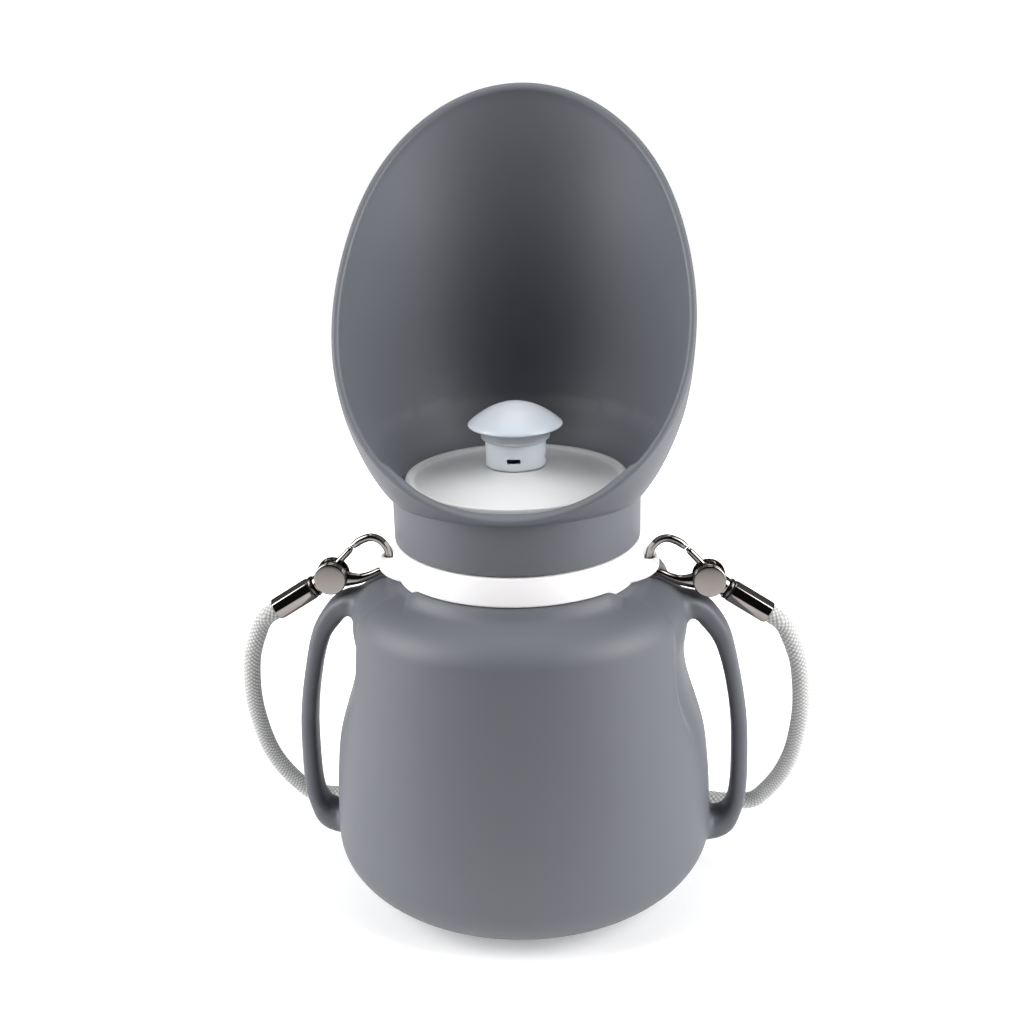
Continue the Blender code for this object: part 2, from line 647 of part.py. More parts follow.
def snap_hook(side, parts, helpers, steel, dark, spring_steel):
    end = "right" if side > 0 else "left"
    hub = Vector((side * HUB_X, 0, HUB_Z))
    front, back = -HUB_W / 2, HUB_W / 2
    pivot = hub + Vector((side * -0.0012, 0, HUB_R - 0.0020))
    across = Vector((0, 1, 0))
    # Fixed arm: from the hub under the lug, up through its hole and over to the nose.
    route = [
        (0.804, -0.322),
        (0.660, -0.343),
        (0.510, -0.332),
        (0.340, -0.271),
        (0.196, -0.204),
        (0.064, -0.168),
        (0.006, -0.085),
        (0.000, 0.034),
        (0.008, 0.137),
        (0.052, 0.255),
        (0.160, 0.369),
        (0.304, 0.410),
        (0.464, 0.358),
        (0.583, 0.276),
    ]
    points = [hook_point(side, a * HOOK_REACH, b * HOOK_REACH) for a, b in route]
    arm = as_mesh(wire(f"hook_arm_{end}", smooth_through(points, 2), WIRE_R, helpers), helpers)
    frame = cylinder(f"hook_frame_{end}", hub + across * front, hub + across * back, HUB_R, parts, steel, sides=28)
    round_edges(frame, 0.0008)
    boss = cylinder(f"hook_boss_{end}", hub, swivel_point(side, HUB_R + 0.0012), 0.0031, helpers)
    join(frame, boss)
    join(frame, arm)
    # Slot for the gate, open at the top of the hub.
    low_x, high_x = sorted((hub.x + side * -2 * HUB_R, hub.x + side * 2 * HUB_R))
    slot_z = pivot.z - 0.0019 - GAP
    cut(frame, box(f"gate_slot_{end}", (low_x, -0.0016, slot_z), (high_x, 0.0016, slot_z + HUB_R * 2), helpers))
    pin_hole = cylinder(f"pin_hole_{end}", pivot - across * HUB_W, pivot + across * HUB_W, PIN_R + GAP, helpers, sides=16)
    cut(frame, pin_hole)
    # Bore and chamber for the swivel's head, open at the boss.
    for part, radius, start, stop in (
        ("chamber", 1.9 * STUD_R + 2 * GAP, 0.0028, 0.0046),
        ("bore", STUD_R + GAP, 0.0040, HUB_R + 0.0030),
    ):
        cutter = cylinder(f"stud_{part}_{end}", swivel_point(side, start), swivel_point(side, stop), radius, helpers)
        cut(frame, cutter)
    spring_bore_x = pivot.x + side * -0.0004
    bore_z = slot_z - 0.0034
    cut(frame, cylinder(f"spring_bore_{end}", (spring_bore_x, 0, bore_z), (spring_bore_x, 0, slot_z + 0.001), 0.0015, helpers))
    coil(f"gate_spring_{end}", spring_bore_x, bore_z + GAP, slot_z - GAP, parts, spring_steel)
    # Gate: a knuckle on the pin, a bar to the nose and a thumb tab on top of the hub.
    tip = hook_point(side, 0.628 * HOOK_REACH, 0.230 * HOOK_REACH)
    gate = cylinder(f"gate_{end}", pivot + across * -0.0013, pivot + across * 0.0013, 0.0018, parts, steel, sides=20)
    bar = cylinder(f"gate_bar_{end}", pivot, tip, GATE_R, helpers, sides=14)
    tab_at = pivot + Vector((side * 0.0021, 0, 0.0013))
    tab = cylinder(f"gate_tab_{end}", tab_at + across * -0.0011, tab_at + across * 0.0011, 0.0012, helpers, sides=14)
    join(gate, bar)
    join(gate, tab)
    cut(gate, cylinder(f"gate_bore_{end}", pivot - across * HUB_W, pivot + across * HUB_W, PIN_R + GAP, helpers, sides=16))
    cylinder(f"gate_pin_{end}", pivot + across * front, pivot + across * back, PIN_R, parts, dark, sides=16)
    cap_from = hub + across * (front - GAP)
    cap = cylinder(f"hub_cap_{end}", cap_from, cap_from - across * HUB_CAP_T, HUB_R - 0.0004, parts, steel, sides=28)
    round_edges(cap, 0.0004)
    swivel(side, end, parts, helpers, steel, dark)


def coil(name, x, low, high, parts, finish):
    turns, steps, wire_r, radius = 3.5, 11, 0.00025, 0.00100
    count = round(turns * steps)
    points = []
    for step in range(count + 1):
        angle = 2 * math.pi * step / steps
        rise = low + wire_r + (high - low - 2 * wire_r) * step / count
        points.append(Vector((x + radius * math.cos(angle), radius * math.sin(angle), rise)))
    wire(name, points, wire_r, parts, finish, sides=1)


def swivel(side, end, parts, helpers, steel, dark):
    """The stud turns in the hub and is fixed in the eight-sided ferrule that grips the cord."""
    head = 1.9 * STUD_R
    ferrule_end = FERRULE_START + FERRULE_LENGTH
    tail_end = FERRULE_START + 0.0042
    stretches = [
        (head, 0.0031, 0.0042),
        (STUD_R, 0.0040, FERRULE_START),
        (0.0029, FERRULE_START - GAP - 0.0009, FERRULE_START - GAP),
        (1.7 * STUD_R, FERRULE_START - GAP - 0.0002, tail_end),
    ]
    profile = [(0, -0.0031)]
    for radius, start, stop in stretches:
        profile += [(radius, -start), (radius, -stop)]
    stud = turned(f"swivel_stud_{end}", [*profile, (0, -tail_end)], parts, dark, steps=16)
    axis = Vector((side * SWIVEL_AXIS.x, 0, SWIVEL_AXIS.z))
    stud.rotation_mode = "QUATERNION"
    stud.rotation_quaternion = (-axis).to_track_quat("Z", "Y")
    stud.location = swivel_point(side, 0)
    start, stop = swivel_point(side, FERRULE_START), swivel_point(side, ferrule_end)
    ferrule = cylinder(f"ferrule_{end}", start, stop, FERRULE_R, parts, steel, sides=8)
    round_edges(ferrule, 0.0004, segments=1)
    bore = cylinder(f"ferrule_bore_{end}", start - axis * 0.001, start + axis * 0.0050, 1.7 * STUD_R + GAP, helpers)
    cut(ferrule, bore)


def cord(parts, white):
    leaves = FERRULE_START + FERRULE_LENGTH + GAP
    start = swivel_point(1, leaves)
    right = [swivel_point(1, leaves + 0.0035)]
    right += [Vector((HANDLE_REACH + out, back, share * start.z)) for out, back, share in CORD_HANG]
    for out, angle in CORD_LAY:
        reach, turn = BODY_R + out, math.radians(angle)
        right.append(Vector((reach * math.sin(turn), reach * math.cos(turn), CORD_R + 0.0005)))
    left = [Vector((-p.x, p.y, p.z)) for p in right]
    points = [swivel_point(-1, leaves), *smooth_through([*left, *reversed(right[:-1])], 2), start]
    wire("lanyard_cord", points, CORD_R, parts, white, sides=2)



def build():
    clear_scene()
    parts, helpers = collection("urine_bottle"), collection("cutters")
    grey = material("grey_silicone_touch", (0.157, 0.168, 0.199), 0.55)
    white = material("white_plastic", (0.85, 0.85, 0.86), 0.45)
    clear = material("milky_plastic", (0.66, 0.72, 0.78), 0.35)
    rubber = material("clear_silicone", (0.60, 0.62, 0.63), 0.6)
    steel = material("dark_chrome", (0.40, 0.38, 0.36), 0.2, 1.0)
    dark = material("dark_steel", (0.05, 0.05, 0.05), 0.3, 1.0)
    braid = material("white_braid", (0.80, 0.80, 0.79), 0.8)
    bottle(parts, helpers, grey)
    lanyard_ring(parts, helpers, white)
    rubber_ring("neck_gasket", NECK_R - NECK_WALL, NECK_R + 0.0016, GASKET_Z, GASKET_T, parts, rubber)
    funnel(parts, helpers, grey)
    drain_plate(parts, white)
    guide_z = valve_tube(parts, helpers, clear)
    valve_cap(parts, guide_z, clear, rubber)
    for side in (1, -1):
        snap_hook(side, parts, helpers, steel, dark, dark)
    cord(parts, braid)
    for obj in helpers.objects:
        obj.hide_render = True
        obj.display_type = "WIRE"


build()
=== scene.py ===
import math

import bmesh
import bpy
import numpy as np
from mathutils import Matrix, Vector
from mathutils.bvhtree import BVHTree


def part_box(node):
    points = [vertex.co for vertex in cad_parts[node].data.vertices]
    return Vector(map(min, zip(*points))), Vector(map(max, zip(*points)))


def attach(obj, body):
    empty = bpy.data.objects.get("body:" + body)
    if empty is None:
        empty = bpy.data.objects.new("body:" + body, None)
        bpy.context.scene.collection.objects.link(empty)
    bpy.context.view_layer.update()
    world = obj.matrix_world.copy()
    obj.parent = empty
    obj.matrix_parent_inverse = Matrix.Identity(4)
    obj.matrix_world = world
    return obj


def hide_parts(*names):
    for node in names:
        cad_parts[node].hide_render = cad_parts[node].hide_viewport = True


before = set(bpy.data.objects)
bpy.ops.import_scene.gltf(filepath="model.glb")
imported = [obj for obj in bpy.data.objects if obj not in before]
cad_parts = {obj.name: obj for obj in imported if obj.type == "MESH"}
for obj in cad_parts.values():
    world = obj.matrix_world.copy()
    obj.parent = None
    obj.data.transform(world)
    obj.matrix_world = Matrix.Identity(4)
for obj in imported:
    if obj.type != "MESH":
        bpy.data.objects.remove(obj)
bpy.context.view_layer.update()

# ---------------------------------------------------------------- sizes, in metres
BODY_R, BODY_WALL = 0.0636, 0.0024
BASE_R, CORNER_H = 0.0370, 0.0180
WAIST_R = 0.0565
SEAT_R, SEAT_STEP = 0.0395, 0.0017
SHOULDER_H = 0.0113
RIM_START, RIM_FULL = 22.0, 46.0
RING_LOW_R, RING_HIGH_R = 0.0410, 0.0395
LUG_T, LUG_HOLE_R = 0.0032, 0.0021
NECK_R, NECK_WALL = 0.0342, 0.0024
THREAD_PITCH, THREAD_DEPTH, RIDGE_R = 0.0050, 0.00195, 0.00125
HANDLE_REACH, HANDLE_T, HANDLE_W = 0.0732, 0.0054, 0.0110
HANDLE_FOOT_Z = 0.0185
GRIP_DEPTH, GRIP_HALF_ANGLE = 0.0042, math.radians(27)
FUNNEL_R = 0.0564
TUBE_R, TUBE_WALL, TUBE_H, STEM_R = 0.0096, 0.0012, 0.0093, 0.0022
CAP_R, CAP_RISE = 0.0150, 0.0068
WIRE_R, HUB_R, HUB_HALF = 0.0013, 0.0054, 0.0032
HOOK_REACH, PIN_R = 0.0194, 0.0010
FERRULE_START, FERRULE_L = 0.0082, 0.0150
SWIVEL_DROP = math.radians(32.5)
CORD_R = 0.0031

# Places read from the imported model
RING_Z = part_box("lanyard_ring")[0].z
RING_TOP_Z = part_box("lanyard_ring")[1].z
NECK_TOP_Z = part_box("bottle_body")[1].z
FUNNEL_Z, FUNNEL_TOP_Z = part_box("funnel")[0].z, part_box("funnel")[1].z
PLATE_Z, TUBE_TOP_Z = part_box("drain_plate")[0].z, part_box("valve_tube")[1].z
CAP_TOP_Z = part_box("valve_cap")[1].z
SEAT_Z = RING_Z - 0.0003
SHOULDER_TOP_Z = SEAT_Z - SEAT_STEP
WAIST_TOP_Z = SHOULDER_TOP_Z - SHOULDER_H
SKIRT_BORE_R = NECK_R + THREAD_DEPTH + 0.00075
SKIRT_R = SKIRT_BORE_R + 0.0027
WEB_Z = NECK_TOP_Z + 0.0021
CREASE_Z = WEB_Z + 0.0005
PLATE_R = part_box("drain_plate")[1].x
PLATE_RIM_Z = PLATE_Z + 0.0029
HUB_X = (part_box("hub_cap_right")[0].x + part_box("hub_cap_right")[1].x) / 2
HUB_Z = (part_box("hub_cap_right")[0].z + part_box("hub_cap_right")[1].z) / 2
HOLE_X = HUB_X - HOOK_REACH
LUG_Z = RING_Z + 0.0006
LUG_MID_Z = LUG_Z + LUG_T / 2
PIVOT_X, PIVOT_Z = HUB_X - 0.0012, HUB_Z + HUB_R - 0.0020

# The cord beside a handle: out from the handle, back, and share of the ferrule's height
CORD_HANG = [
    (0.0140, 0.0009, 0.940),
    (0.0183, 0.0028, 0.820),
    (0.0202, 0.0053, 0.700),
    (0.0211, 0.0092, 0.572),
    (0.0207, 0.0143, 0.432),
    (0.0194, 0.0185, 0.324),
    (0.0168, 0.0236, 0.216),
    (0.0130, 0.0287, 0.119),
    (0.0088, 0.0315, 0.057),
]
# The cord on the floor: out from the body, and the angle from straight behind
CORD_LAY = [
    (0.0193, 66.5),
    (0.0138, 64.8),
    (0.0096, 61.8),
    (0.0071, 57.3),
    (0.0054, 51.5),
    (0.0049, 41.0),
    (0.0051, 28.7),
    (0.0057, 14.2),
    (0.0060, 0.0),
]


# ---------------------------------------------------------------- shapes
def ease(value, low, high):
    """Rises gently from 0 at low to 1 at high."""
    t = np.clip((value - low) / (high - low), 0.0, 1.0)
    return t * t * (3 - 2 * t)


def smooth_through(points, steps):
    """Catmull-Rom line through points, as an array."""
    p = np.array(points, float)
    ends = np.vstack([2 * p[0] - p[1], p, 2 * p[-1] - p[-2]])
    line = []
    for a, b, c, d in zip(ends, ends[1:], ends[2:], ends[3:]):
        for t in np.arange(steps) / steps:
            bend, twist = 2 * a - 5 * b + 4 * c - d, 3 * b - a - 3 * c + d
            line.append(0.5 * (2 * b + (c - a) * t + bend * t**2 + twist * t**3))
    return np.array([*line, p[-1]])


def softened(outline, radius, closed=False, steps=4):
    """Rounds the corners of a (radius, height) outline; `radius` is one number or one for each point."""
    p = [np.array(q, float) for q in outline]
    radii = radius if hasattr(radius, "__len__") else [radius] * len(p)
    made = []
    for i, (q, r) in enumerate(zip(p, radii)):
        if not closed and i in (0, len(p) - 1):
            made.append(q)
            continue
        before, after = p[i - 1], p[(i + 1) % len(p)]
        back, ahead = before - q, after - q
        reach = min(r, 0.45 * np.linalg.norm(back), 0.45 * np.linalg.norm(ahead))
        if reach < 1e-6:
            made.append(q)
            continue
        start = q + back / np.linalg.norm(back) * reach
        end = q + ahead / np.linalg.norm(ahead) * reach
        for t in np.arange(steps + 1) / steps:
            made.append((1 - t) ** 2 * start + 2 * t * (1 - t) * q + t * t * end)
    return np.array(made)


def arc(centre, radii, start, end, steps):
    a = np.radians(np.linspace(start, end, steps + 1))
    return [(centre[0] + radii[0] * math.cos(t), centre[1] + radii[1] * math.sin(t)) for t in a]


def new_object(name, mesh):
    obj = bpy.data.objects.new(name, mesh)
    bpy.context.scene.collection.objects.link(obj)
    return obj


def shaded(obj, sharp):
    """Smooth shading, except at edges sharper than so many degrees."""
    obj.data.shade_smooth()
    obj.data.set_sharp_from_angle(angle=math.radians(sharp))
    return obj


def from_bmesh(name, bm, sharp=38):
    bmesh.ops.remove_doubles(bm, verts=bm.verts, dist=1e-6)
    bmesh.ops.recalc_face_normals(bm, faces=bm.faces)
    mesh = bpy.data.meshes.new(name)
    bm.to_mesh(mesh)
    bm.free()
    return shaded(new_object(name, mesh), sharp)


def from_grid(name, points, wrap_rows=False, wrap_columns=True, caps=False, sharp=38):
    """A surface over an array of points [row, column, xyz]."""
    rows, columns = points.shape[:2]
    bm = bmesh.new()
    grid = [[bm.verts.new(p) for p in row] for row in points]
    for i in range(rows if wrap_rows else rows - 1):
        for j in range(columns if wrap_columns else columns - 1):
            a, b = grid[i], grid[(i + 1) % rows]
            k = (j + 1) % columns
            bm.faces.new((a[j], a[k], b[k], b[j]))
    if caps:
        bm.faces.new(list(reversed(grid[0])))
        bm.faces.new(grid[-1])
    return from_bmesh(name, bm, sharp)


def turned(name, outline, steps=160, closed=False, sharp=38):
    """A (radius, height) outline turned round Z, as a mesh. Points on the axis close it."""
    a = np.linspace(0, 2 * math.pi, steps, endpoint=False)
    p = np.array(outline, float)
    points = np.stack([p[:, :1] * np.cos(a), p[:, :1] * np.sin(a), np.repeat(p[:, 1:], steps, 1)], -1)
    return from_grid(name, points, wrap_rows=closed, sharp=sharp)


def place(obj, matrix):
    """Moves a piece in its mesh, so that its object stays at the origin."""
    obj.data.transform(matrix)
    obj.data.update()
    return obj


def frames_along(line, start_normal=(0, 1, 0)):
    """Tangents, normals and binormals along a line, turned as little as possible."""
    tangent = np.gradient(line, axis=0)
    tangent /= np.linalg.norm(tangent, axis=1)[:, None]
    normal = np.array(start_normal, float)
    normals = []
    for t in tangent:
        normal = normal - t * normal.dot(t)
        normal /= np.linalg.norm(normal)
        normals.append(normal)
    normals = np.array(normals)
    return tangent, normals, np.cross(tangent, normals)


def swept(name, line, half_width, half_height, power=2.0, sides=24, normal=(0, 1, 0), sharp=60):
    """A closed bar along a line. Its section is a rounded box: power 2 is round, more is squarer."""
    line = np.array(line, float)
    _, across, over = frames_along(line, normal)
    count = len(line)
    w = np.broadcast_to(half_width, count)[:, None, None]
    h = np.broadcast_to(half_height, count)[:, None, None]
    a = np.linspace(0, 2 * math.pi, sides, endpoint=False)
    c = (np.sign(np.cos(a)) * abs(np.cos(a)) ** (2 / power))[None, :, None]
    s = (np.sign(np.sin(a)) * abs(np.sin(a)) ** (2 / power))[None, :, None]
    points = line[:, None, :] + w * c * across[:, None, :] + h * s * over[:, None, :]
    return from_grid(name, points, caps=True, sharp=sharp)


def rod(name, start, end, outline, steps=48, sharp=38):
    """A turned piece between two points; its outline gives (radius, distance from the start)."""
    start, end = Vector(start), Vector(end)
    obj = turned(name, outline, steps, sharp=sharp)
    turn = (end - start).to_track_quat("Z", "Y").to_matrix().to_4x4()
    return place(obj, Matrix.Translation(start) @ turn)


def points_of(obj):
    co = np.empty(len(obj.data.vertices) * 3)
    obj.data.vertices.foreach_get("co", co)
    return co.reshape(-1, 3)


def move_points(obj, co):
    obj.data.vertices.foreach_set("co", co.ravel())
    obj.data.update()
    return obj


def evaluated_mesh(obj):
    bpy.context.view_layer.update()
    graph = bpy.context.evaluated_depsgraph_get()
    return bpy.data.meshes.new_from_object(obj.evaluated_get(graph), depsgraph=graph)


def applied(obj):
    """Replaces an object's mesh by its evaluated one and drops its modifiers."""
    mesh = evaluated_mesh(obj)
    obj.modifiers.clear()
    obj.data = mesh
    return obj


def relaxed(obj, rounds):
    """Evens a mesh out, by half a step in each round."""
    step = obj.modifiers.new("smooth", "SMOOTH")
    step.factor, step.iterations = 0.5, rounds
    return applied(obj)


def combined(obj, others, operation, sharp=38):
    """Adds or cuts other closed meshes, which are used up."""
    for other in others:
        step = obj.modifiers.new(other.name, "BOOLEAN")
        step.operation, step.object, step.solver = operation, other, "MANIFOLD"
    applied(obj)
    for other in others:
        bpy.data.objects.remove(other)
    return shaded(obj, sharp)


def softened_edges(obj, width, segments=3, angle=40):
    step = obj.modifiers.new("edge", "BEVEL")
    step.width, step.segments = width, segments
    step.limit_method, step.angle_limit = "ANGLE", math.radians(angle)
    return shaded(applied(obj), 50)


def block(name, low, high, turn=None):
    low, high = Vector(low), Vector(high)
    bm = bmesh.new()
    size = Matrix.Diagonal((*(high - low), 1))
    placed = (turn or Matrix()) @ Matrix.Translation((low + high) / 2) @ size
    bmesh.ops.create_cube(bm, size=1, matrix=placed)
    return from_bmesh(name, bm)


# ---------------------------------------------------------------- finishes
def srgb(code):
    """A hex colour as linear red, green, blue and 1."""
    parts = [int(code[i : i + 2], 16) / 255 for i in (1, 3, 5)]
    return (*[p / 12.92 if p <= 0.04045 else ((p + 0.055) / 1.055) ** 2.4 for p in parts], 1)


def add(tree, kind, links=None, **settings):
    """Adds a node. `links` gives its inputs, by name or number, a value or another node's output; `settings` are
    the node's own options."""
    node = tree.nodes.new(kind)
    for key, value in settings.items():
        setattr(node, key, value)
    for socket, value in (links or {}).items():
        if isinstance(value, bpy.types.NodeSocket):
            tree.links.new(value, node.inputs[socket])
        else:
            node.inputs[socket].default_value = value
    return node


def finish(name, colour, roughness, grain=0.3, depth=0.02, spread=0.04, tint=0.03, **shader):
    """A moulded or polished surface. `grain` is its texture's size and `depth` its relief, in millimetres;
    roughness varies by `spread`, colour by `tint`."""
    made = bpy.data.materials.new(name)
    made.use_nodes = True
    tree = made.node_tree
    body = tree.nodes["Principled BSDF"]
    body.inputs["Base Color"].default_value = srgb(colour)
    body.inputs["Roughness"].default_value = roughness
    for key, value in shader.items():
        body.inputs[key.replace("_", " ")].default_value = value
    where = add(tree, "ShaderNodeTexCoord").outputs["Object"]
    cloud = add(tree, "ShaderNodeTexNoise", {"Vector": where, "Scale": 60.0, "Detail": 3.0}).outputs["Fac"]
    fine = {"Vector": where, "Scale": 1000 / grain, "Detail": 2.0}
    fine = add(tree, "ShaderNodeTexNoise", fine).outputs["Fac"]
    rough = add(tree, "ShaderNodeMapRange", {0: cloud, 3: roughness - spread, 4: roughness + spread})
    tree.links.new(rough.outputs[0], body.inputs["Roughness"])
    if tint:
        base = np.array(srgb(colour)[:3])
        low, high = (*(base * (1 - tint)), 1), (*np.minimum(base * (1 + tint), 1), 1)
        mixed = add(tree, "ShaderNodeMix", {0: cloud, 6: low, 7: high}, data_type="RGBA")
        tree.links.new(mixed.outputs[2], body.inputs["Base Color"])
    if depth:
        bump = add(tree, "ShaderNodeBump", {"Height": fine, "Strength": 1.0, "Distance": depth / 1000})
        tree.links.new(bump.outputs[0], body.inputs["Normal"])
    return made


# Soft-touch elastomer over polypropylene from a spark-eroded mould: matt, a little sheen at grazing angles.
grey = finish("soft_touch_elastomer", "#62646b", 0.50, grain=0.35, depth=0.010)
# Injection-moulded white polypropylene: satin, with hardly any texture.
white = finish("white_polypropylene", "#fdfbfc", 0.38, grain=0.5, depth=0.004, tint=0.01)
# Acetal is a shade greyer and a little glossier than the ring beside it.
plate_white = finish("white_acetal", "#d2d3d3", 0.32, grain=0.5, depth=0.004, tint=0.01)
# Milky polypropylene: light goes in and comes out softened and slightly blue; the thin tube lets less of it in.
# The tube's copy has a much lighter base colour than the cap, painted light that offsets the shade under the
# cap.
milk = {"grain": 0.8, "depth": 0.003, "tint": 0.02}
milk |= {"Subsurface_Scale": 1.0, "Subsurface_Radius": (0.004, 0.0045, 0.005)}
milky = finish("milky_polypropylene", "#bcc2ca", 0.25, Subsurface_Weight=1.0, **milk)
milky_tube_painted_lighter = finish("milky_polypropylene_tube_painted_light", "#eaf3fc", 0.25, Subsurface_Weight=0.3, **milk)
# Clear liquid silicone rubber: satin, slightly cloudy.
rubber = {"Subsurface_Weight": 0.4, "Subsurface_Scale": 1.0, "Subsurface_Radius": (0.003, 0.003, 0.003)}
silicone = finish("clear_silicone", "#cdd0d2", 0.45, grain=0.6, depth=0.006, tint=0.02, **rubber)
# Zinc die casting plated in black nickel: a mirror with soft buffing marks. Its dark specular tint darkens it
# towards its outline, a painted dark reflection.
# the dark specular tint paints the darkening at the outline
mirror_painted_dark_edge = {"Metallic": 1.0, "Specular_Tint": (0.12, 0.115, 0.11, 1)}
nickel = finish("black_nickel_zinc", "#9b9592", 0.10, grain=0.25, depth=0.0006, spread=0.03, **mirror_painted_dark_edge)
# Steel pins, springs and collars under the same plating: darker and less polished.
dark_steel = finish("plated_spring_steel", "#5a5755", 0.24, grain=0.2, depth=0.001, tint=0.04, Metallic=1.0)


def braided_yarn():
    """Polyester yarn: soft, slightly shiny fibres, light on the crowns and darker in the grooves, where the
    darkening is painted shade.
    """
    made = finish("braided_polyester", "#ececea", 0.62, grain=0.25, depth=0.05, tint=0, Sheen_Weight=0.1)
    tree = made.node_tree
    crown = add(tree, "ShaderNodeAttribute", attribute_name="yarn_crown_shade_mask").outputs["Fac"]
    # painted shade: dark grey in the grooves between yarns, light grey on the crowns
    groove_shade_colours = {0: crown, 6: srgb("#8a8a8a"), 7: srgb("#f0f0ee")}
    colour = add(tree, "ShaderNodeMix", groove_shade_colours, data_type="RGBA").outputs[2]
    tree.links.new(colour, tree.nodes["Principled BSDF"].inputs["Base Color"])
    return made


yarn = braided_yarn()


def piece(obj, body, material, replaced=()):
    """Finishes a piece: its material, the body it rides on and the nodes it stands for."""
    obj.data.materials.clear()
    obj.data.materials.append(material)
    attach(obj, body)
    if replaced:
        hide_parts(*replaced)
    return obj


# ---------------------------------------------------------------- bottle
def body_outline(wall, dense=6):
    """Half outline of the body from under the ring to the edge of the flat base."""
    rise = WAIST_TOP_Z - CORNER_H
    side = [
        (WAIST_R - wall, WAIST_TOP_Z),
        (WAIST_R + 0.25 * (BODY_R - WAIST_R) - wall, CORNER_H + 0.80 * rise),
        (WAIST_R + 0.60 * (BODY_R - WAIST_R) - wall, CORNER_H + 0.52 * rise),
        (WAIST_R + 0.90 * (BODY_R - WAIST_R) - wall, CORNER_H + 0.24 * rise),
        (BODY_R - wall, CORNER_H),
    ]
    reach = (WAIST_R - RING_LOW_R, SHOULDER_H - wall)
    shoulder = arc((RING_LOW_R - wall, WAIST_TOP_Z), reach, 90, 0, 3 * dense)
    corner = arc((BASE_R, CORNER_H), (BODY_R - wall - BASE_R, CORNER_H - wall), 0, -90, 4 * dense)
    return [*shoulder[:-1], *smooth_through(side, dense)[:-1].tolist(), *corner]


def grip_recess(obj):
    """The finger recess behind each handle: deepest under the shoulder, fading towards the base."""
    co = points_of(obj)
    x, y, z = co.T
    radius = np.maximum(np.hypot(x, y), 1e-9)
    rise = WAIST_TOP_Z - HANDLE_FOOT_Z
    off_axis = abs(np.arctan2(y, abs(x)))
    widening = ease(z, HANDLE_FOOT_Z + 0.15 * rise, HANDLE_FOOT_Z + 0.8 * rise)
    width = GRIP_HALF_ANGLE * (0.45 + 0.55 * widening)
    across = 1 - ease(off_axis, width - math.radians(4), width + math.radians(3))
    up = ease(z, HANDLE_FOOT_Z + 0.38 * rise, HANDLE_FOOT_Z + 0.76 * rise)
    up *= 1 - 0.55 * ease(z, HANDLE_FOOT_Z + 0.80 * rise, HANDLE_FOOT_Z + 0.97 * rise)
    near_seat = ease(radius, SEAT_R + 0.001, SEAT_R + 0.006)
    scale = np.where(radius < SEAT_R, 1, 1 - GRIP_DEPTH * across * up * near_seat / radius)
    dip = 0.0010 * across * near_seat * ease(z, WAIST_TOP_Z, SHOULDER_TOP_Z - 0.002)
    co[:, :2] *= scale[:, None]
    co[:, 2] -= np.where(radius < SEAT_R, 0, dip)
    return move_points(obj, co)


def handle(side):
    top_z = HUB_Z - HUB_R - 0.0010 - HANDLE_T / 2
    drop, middle = top_z - HANDLE_FOOT_Z, HANDLE_REACH - BODY_R
    path = [
        (WAIST_R - 0.0070, top_z + 0.0010),
        (WAIST_R - 0.0020, top_z + 0.0010),
        (WAIST_R + 0.0020, top_z - 0.0002),
        (HUB_X, top_z - 0.0030),
        (BODY_R + 0.30 * middle, top_z - 0.14 * drop),
        (BODY_R + 0.68 * middle, top_z - 0.32 * drop),
        (BODY_R + 0.93 * middle, top_z - 0.52 * drop),
        (HANDLE_REACH, top_z - 0.71 * drop),
        (BODY_R + 0.98 * middle, top_z - 0.865 * drop),
        (BODY_R + 0.84 * middle, top_z - 0.960 * drop),
        (BODY_R + 0.45 * middle, top_z - 1.030 * drop),
        (BODY_R - 0.45 * middle, HANDLE_FOOT_Z - 0.0046),
    ]
    steps = 8
    line = smooth_through([(side * x, 0, z) for x, z in path], steps)
    down = np.arange(len(line)) / steps
    back = down[-1] - down
    arch = 0.0009 * ease(down, 0.5, 2) * (1 - ease(down, 3, 5))
    line[:, 2] -= arch
    thick = 1 + 0.14 * (1 - ease(down, 0.5, 2.5)) + 0.7 * (1 - ease(back, 0.3, 2.2))
    thick = arch + HANDLE_T / 2 * thick
    wide = HANDLE_W / 2 * (1 + 0.18 * (1 - ease(down, 0.5, 3)) + 0.25 * (1 - ease(back, 0.5, 2.5)))
    return swept(f"handle{side}", line, wide, thick, power=3.4, sides=36)


def distances(points, obj, beyond=0.0):
    """Each point's distance to the part of a surface beyond a radius, and the nearest place on it."""
    shown = [tuple(p.vertices) for p in obj.data.polygons if p.center.xy.length >= beyond]
    tree = BVHTree.FromPolygons([v.co for v in obj.data.vertices], shown)
    found = [tree.find_nearest(p) for p in points]
    return np.array([f[3] for f in found]), np.array([f[0] for f in found])


